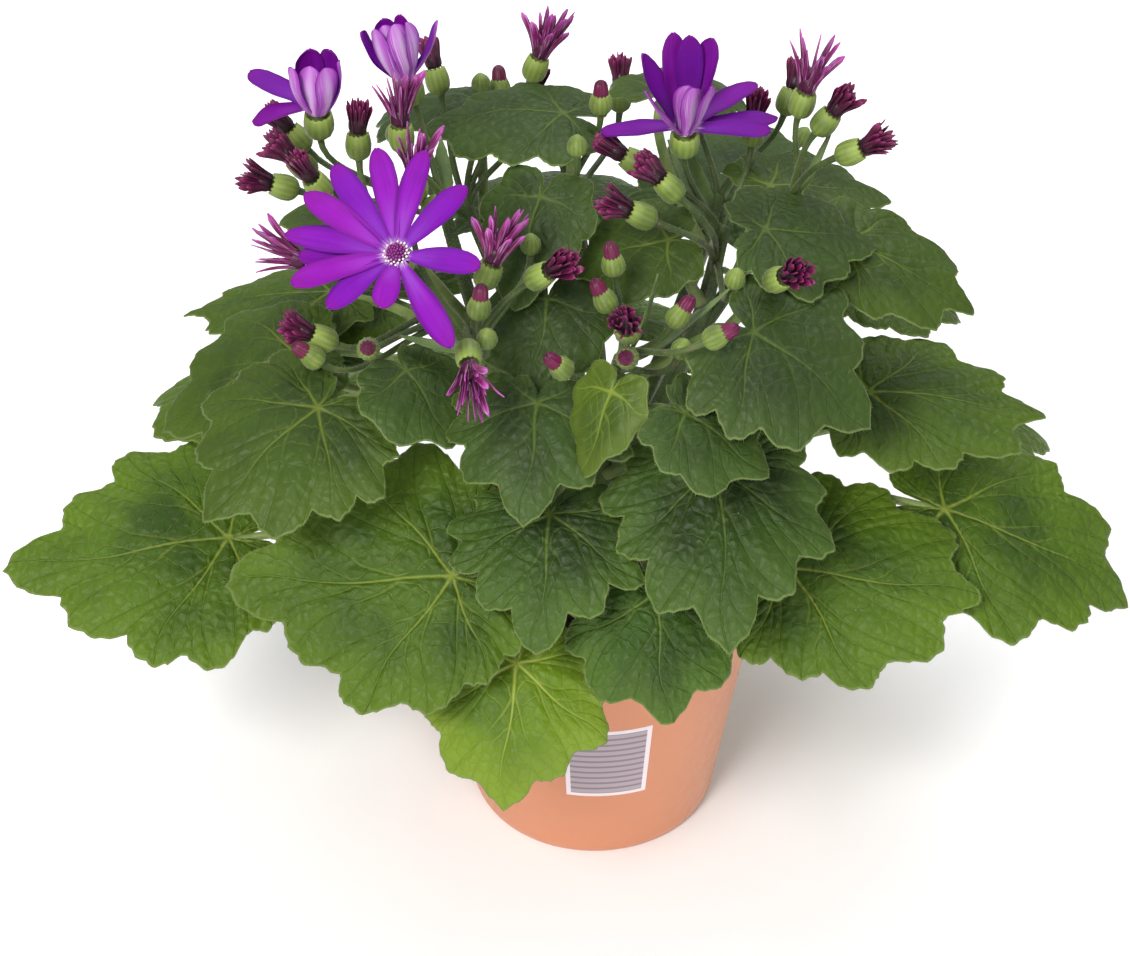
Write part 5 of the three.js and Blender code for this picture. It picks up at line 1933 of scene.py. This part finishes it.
@dataclass(frozen=True)
class Polypropylene(Finish):
    """Moulded polypropylene, coloured through: smooth, slightly waxy, with soft highlights.

    Fine scuffs vary the gloss, and light that enters the thin wall spreads a little in it.
    """

    body: str = "#c98562"
    cloud: str = "#c47f5e"
    # The inner tone is painted shade on the pot's inside faces.
    inner: str = "#a86a4a"
    spread: tuple[float, float, float] = (1.0, 0.45, 0.25)

    def paint(self, m: Recipe) -> Socket:
        """A nearly even tone with painted shade on the inside faces, and scuffs of 4 mm in the
        gloss.

        Args:
            m: the recipe.

        Returns:
            The shader.
        """
        tone = m.layers(
            self.body,
            (m.ramp(m.speckle(30.0, 4.0), 0.35, 0.7, 0.0, 0.12), self.cloud),
            # Painted shade on the inside faces.
            (m.mark("inside"), self.inner),
        )
        return m.principled(
            m.bump(m.speckle(120.0, 3.0), 0.12, 0.35),
            Base_Color=tone,
            Roughness=m.ramp(m.speckle(260.0, 5.0, 0.7), 0.35, 0.75, 0.33, 0.46),
            IOR=1.49,
            Subsurface_Weight=0.12,
            Subsurface_Radius=self.spread,
            Subsurface_Scale=2 * MM,
        )


@dataclass(frozen=True)
class LabelFilm(Finish):
    """White polypropylene label film, printed with a pale grey violet field and plain stripes."""

    paper: str = "#e6dade"
    field: str = "#a99ba2"
    ink: str = "#81757f"
    width: float = 29.2
    height: float = 34.8
    border: float = 1.6
    pitch: float = 2.9

    def paint(self, m: Recipe) -> Socket:
        """Measures the printed field and its stripes from the label's own marks, in millimetres.

        Args:
            m: the recipe.

        Returns:
            The shader.
        """
        x, z = m.mark("label_x"), m.mark("label_z")
        phase = m.sum("PINGPONG", z, self.pitch / 2)
        stripe = m.ramp(phase, self.pitch * 0.3, self.pitch * 0.34)
        side = m.sum("MINIMUM", x, m.sum("SUBTRACT", self.width, x))
        end = m.sum("MINIMUM", z, m.sum("SUBTRACT", self.height, z))
        inner = m.ramp(m.sum("MINIMUM", side, end), self.border, self.border + 0.12)
        printed = m.blend(m.times(stripe, inner), self.field, self.ink)
        tone = m.blend(inner, self.paper, printed)
        return m.principled(Base_Color=tone, Roughness=0.34, IOR=1.5)


@dataclass(frozen=True)
class Backdrop(Finish):
    """Matt studio sweep, nearly white."""

    tone: str = "#f8f8f9"

    def paint(self, m: Recipe) -> Socket:
        """One even tone."""
        return m.principled(Base_Color=self.tone, Roughness=0.9, IOR=1.4)


# ---------------------------------------------------------------- studio
@dataclass(frozen=True)
class Lamp:
    """A square soft light: its place, what it faces and its side in metres, its power in watts."""

    name: str
    place: Point
    aim: Point
    side: float
    power: float
    tint: str = "#ffffff"

    def hang(self) -> None:
        """Adds the light, turned towards its aim."""
        lamp = bpy.data.lights.new(self.name, "AREA")
        lamp.size, lamp.energy, lamp.color = self.side, self.power, linear(self.tint)[:3]
        made = stand(self.name, lamp)
        made.location = self.place
        way = np.array(self.aim) - np.array(self.place)
        fall = math.acos(-way[2] / np.linalg.norm(way))
        made.rotation_euler = (fall, 0, math.atan2(way[1], way[0]) - math.pi / 2)


@dataclass
class Studio:
    """The pale floor, the soft lights and the camera."""

    half: float = 6.0
    sky: str = "#f2f4f7"
    sky_strength: float = 0.5
    eye: Point = (-0.0104, -0.731, 0.682)
    pitch: float = 36.8
    lens: float = 85.44
    sensor: float = 36.0
    lamps: tuple[Lamp, ...] = (
        Lamp("key", (-0.45, -0.95, 1.05), (0, 0, 0.15), 0.45, 17.0, "#fffcf8"),
        Lamp("overhead", (0.25, 0.35, 1.3), (0, 0, 0.18), 0.7, 7.0),
        Lamp("front", (0.55, -1.2, 0.45), (0, 0, 0.12), 0.5, 5.0),
        Lamp("backdrop", (0, 0.75, 0.9), (0, 1.25, 0), 1.2, 8.0),
    )

    def build(self) -> None:
        """Makes the floor, world, lights and camera."""
        scene = bpy.context.scene
        mesh = bpy.data.meshes.new("sweep")
        corners = ((-1, -1), (1, -1), (1, 1), (-1, 1))
        mesh.from_pydata([(x * self.half, y * self.half, 0) for x, y in corners], [], [range(4)])
        mesh.materials.append(Backdrop().make("studio_sweep"))
        sweep = stand("sweep", mesh)
        scene.world = bpy.data.worlds.new("studio")
        scene.world.use_nodes = True
        sky = scene.world.node_tree.nodes["Background"].inputs
        sky["Color"].default_value = linear(self.sky)
        sky["Strength"].default_value = self.sky_strength
        for lamp in self.lamps:
            lamp.hang()
        camera = bpy.data.cameras.new("camera")
        camera.lens, camera.sensor_width, camera.sensor_fit = self.lens, self.sensor, "HORIZONTAL"
        scene.camera = stand("camera", camera)
        scene.camera.location = self.eye
        scene.camera.rotation_euler = (math.radians(90 - self.pitch), 0, 0)
        scene.view_settings.view_transform = "Standard"


# ---------------------------------------------------------------- main
def main() -> None:
    """Builds the plant in its pot, from the pot up."""
    logging.basicConfig(level=logging.INFO, format="%(message)s")
    Pot().build(Polypropylene().make("moulded_polypropylene"), LabelFilm().make("label_film"))
    Soil().build(Peat().make("peat_mix"))
    hairs = Down().make("plant_hairs")
    # The first colour of each floret finish is a painted shade at the florets' roots.
    pink = FloretTissue("#5c3038", "#640c3c", "#4c0830", "#80205a", 0.3)
    dark = FloretTissue("#220612", "#46092c", "#781450", "#983070", 0.35)
    rays = FloretTissue("#400a2c", "#741056", "#a8369a", "#dca2dc", 0.6)
    Greens().build(
        [
            Stalk("#33461c", "#4d622a", flushed=0.35).make("stem_skin"),
            Stalk("#586c28", "#7d9240", flushed=0.15, seamed=0.35).make("cup_skin"),
            pink.make("bud_petals"),
            dark.make("closed_florets"),
            Stalk("#4c6632", "#6f8746", flushed=0.05, through=0.2).make("bract_tissue"),
            hairs,
        ]
    )
    leaf = {
        Tone.DARK: LeafTissue("#22380f", "#34520f", "#587628", "#64782e", 0.55),
        Tone.MID: LeafTissue("#2f480c", "#486410", "#5f7a1a", "#7f8e36", 0.5),
        Tone.LIGHT: LeafTissue("#486410", "#5e7a10", "#7e9430", "#9fac48", 0.28),
    }
    tissues = {tone: green.make(f"leaf_tissue_{tone.name.lower()}") for tone, green in leaf.items()}
    Foliage().build(tissues, Stalk("#5d7436", "#8a9c58").make("petiole_skin"), hairs)
    florets = {Kind.RAY: rays.make("rolled_rays"), Kind.BRUSH: dark.make("packed_florets")}
    Flowers().build(PetalTissue().make("petal_tissue"), DiscTissue().make("disc_florets"), florets)
    Studio().build()
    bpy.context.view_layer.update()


if __name__ == "__main__":
    main()
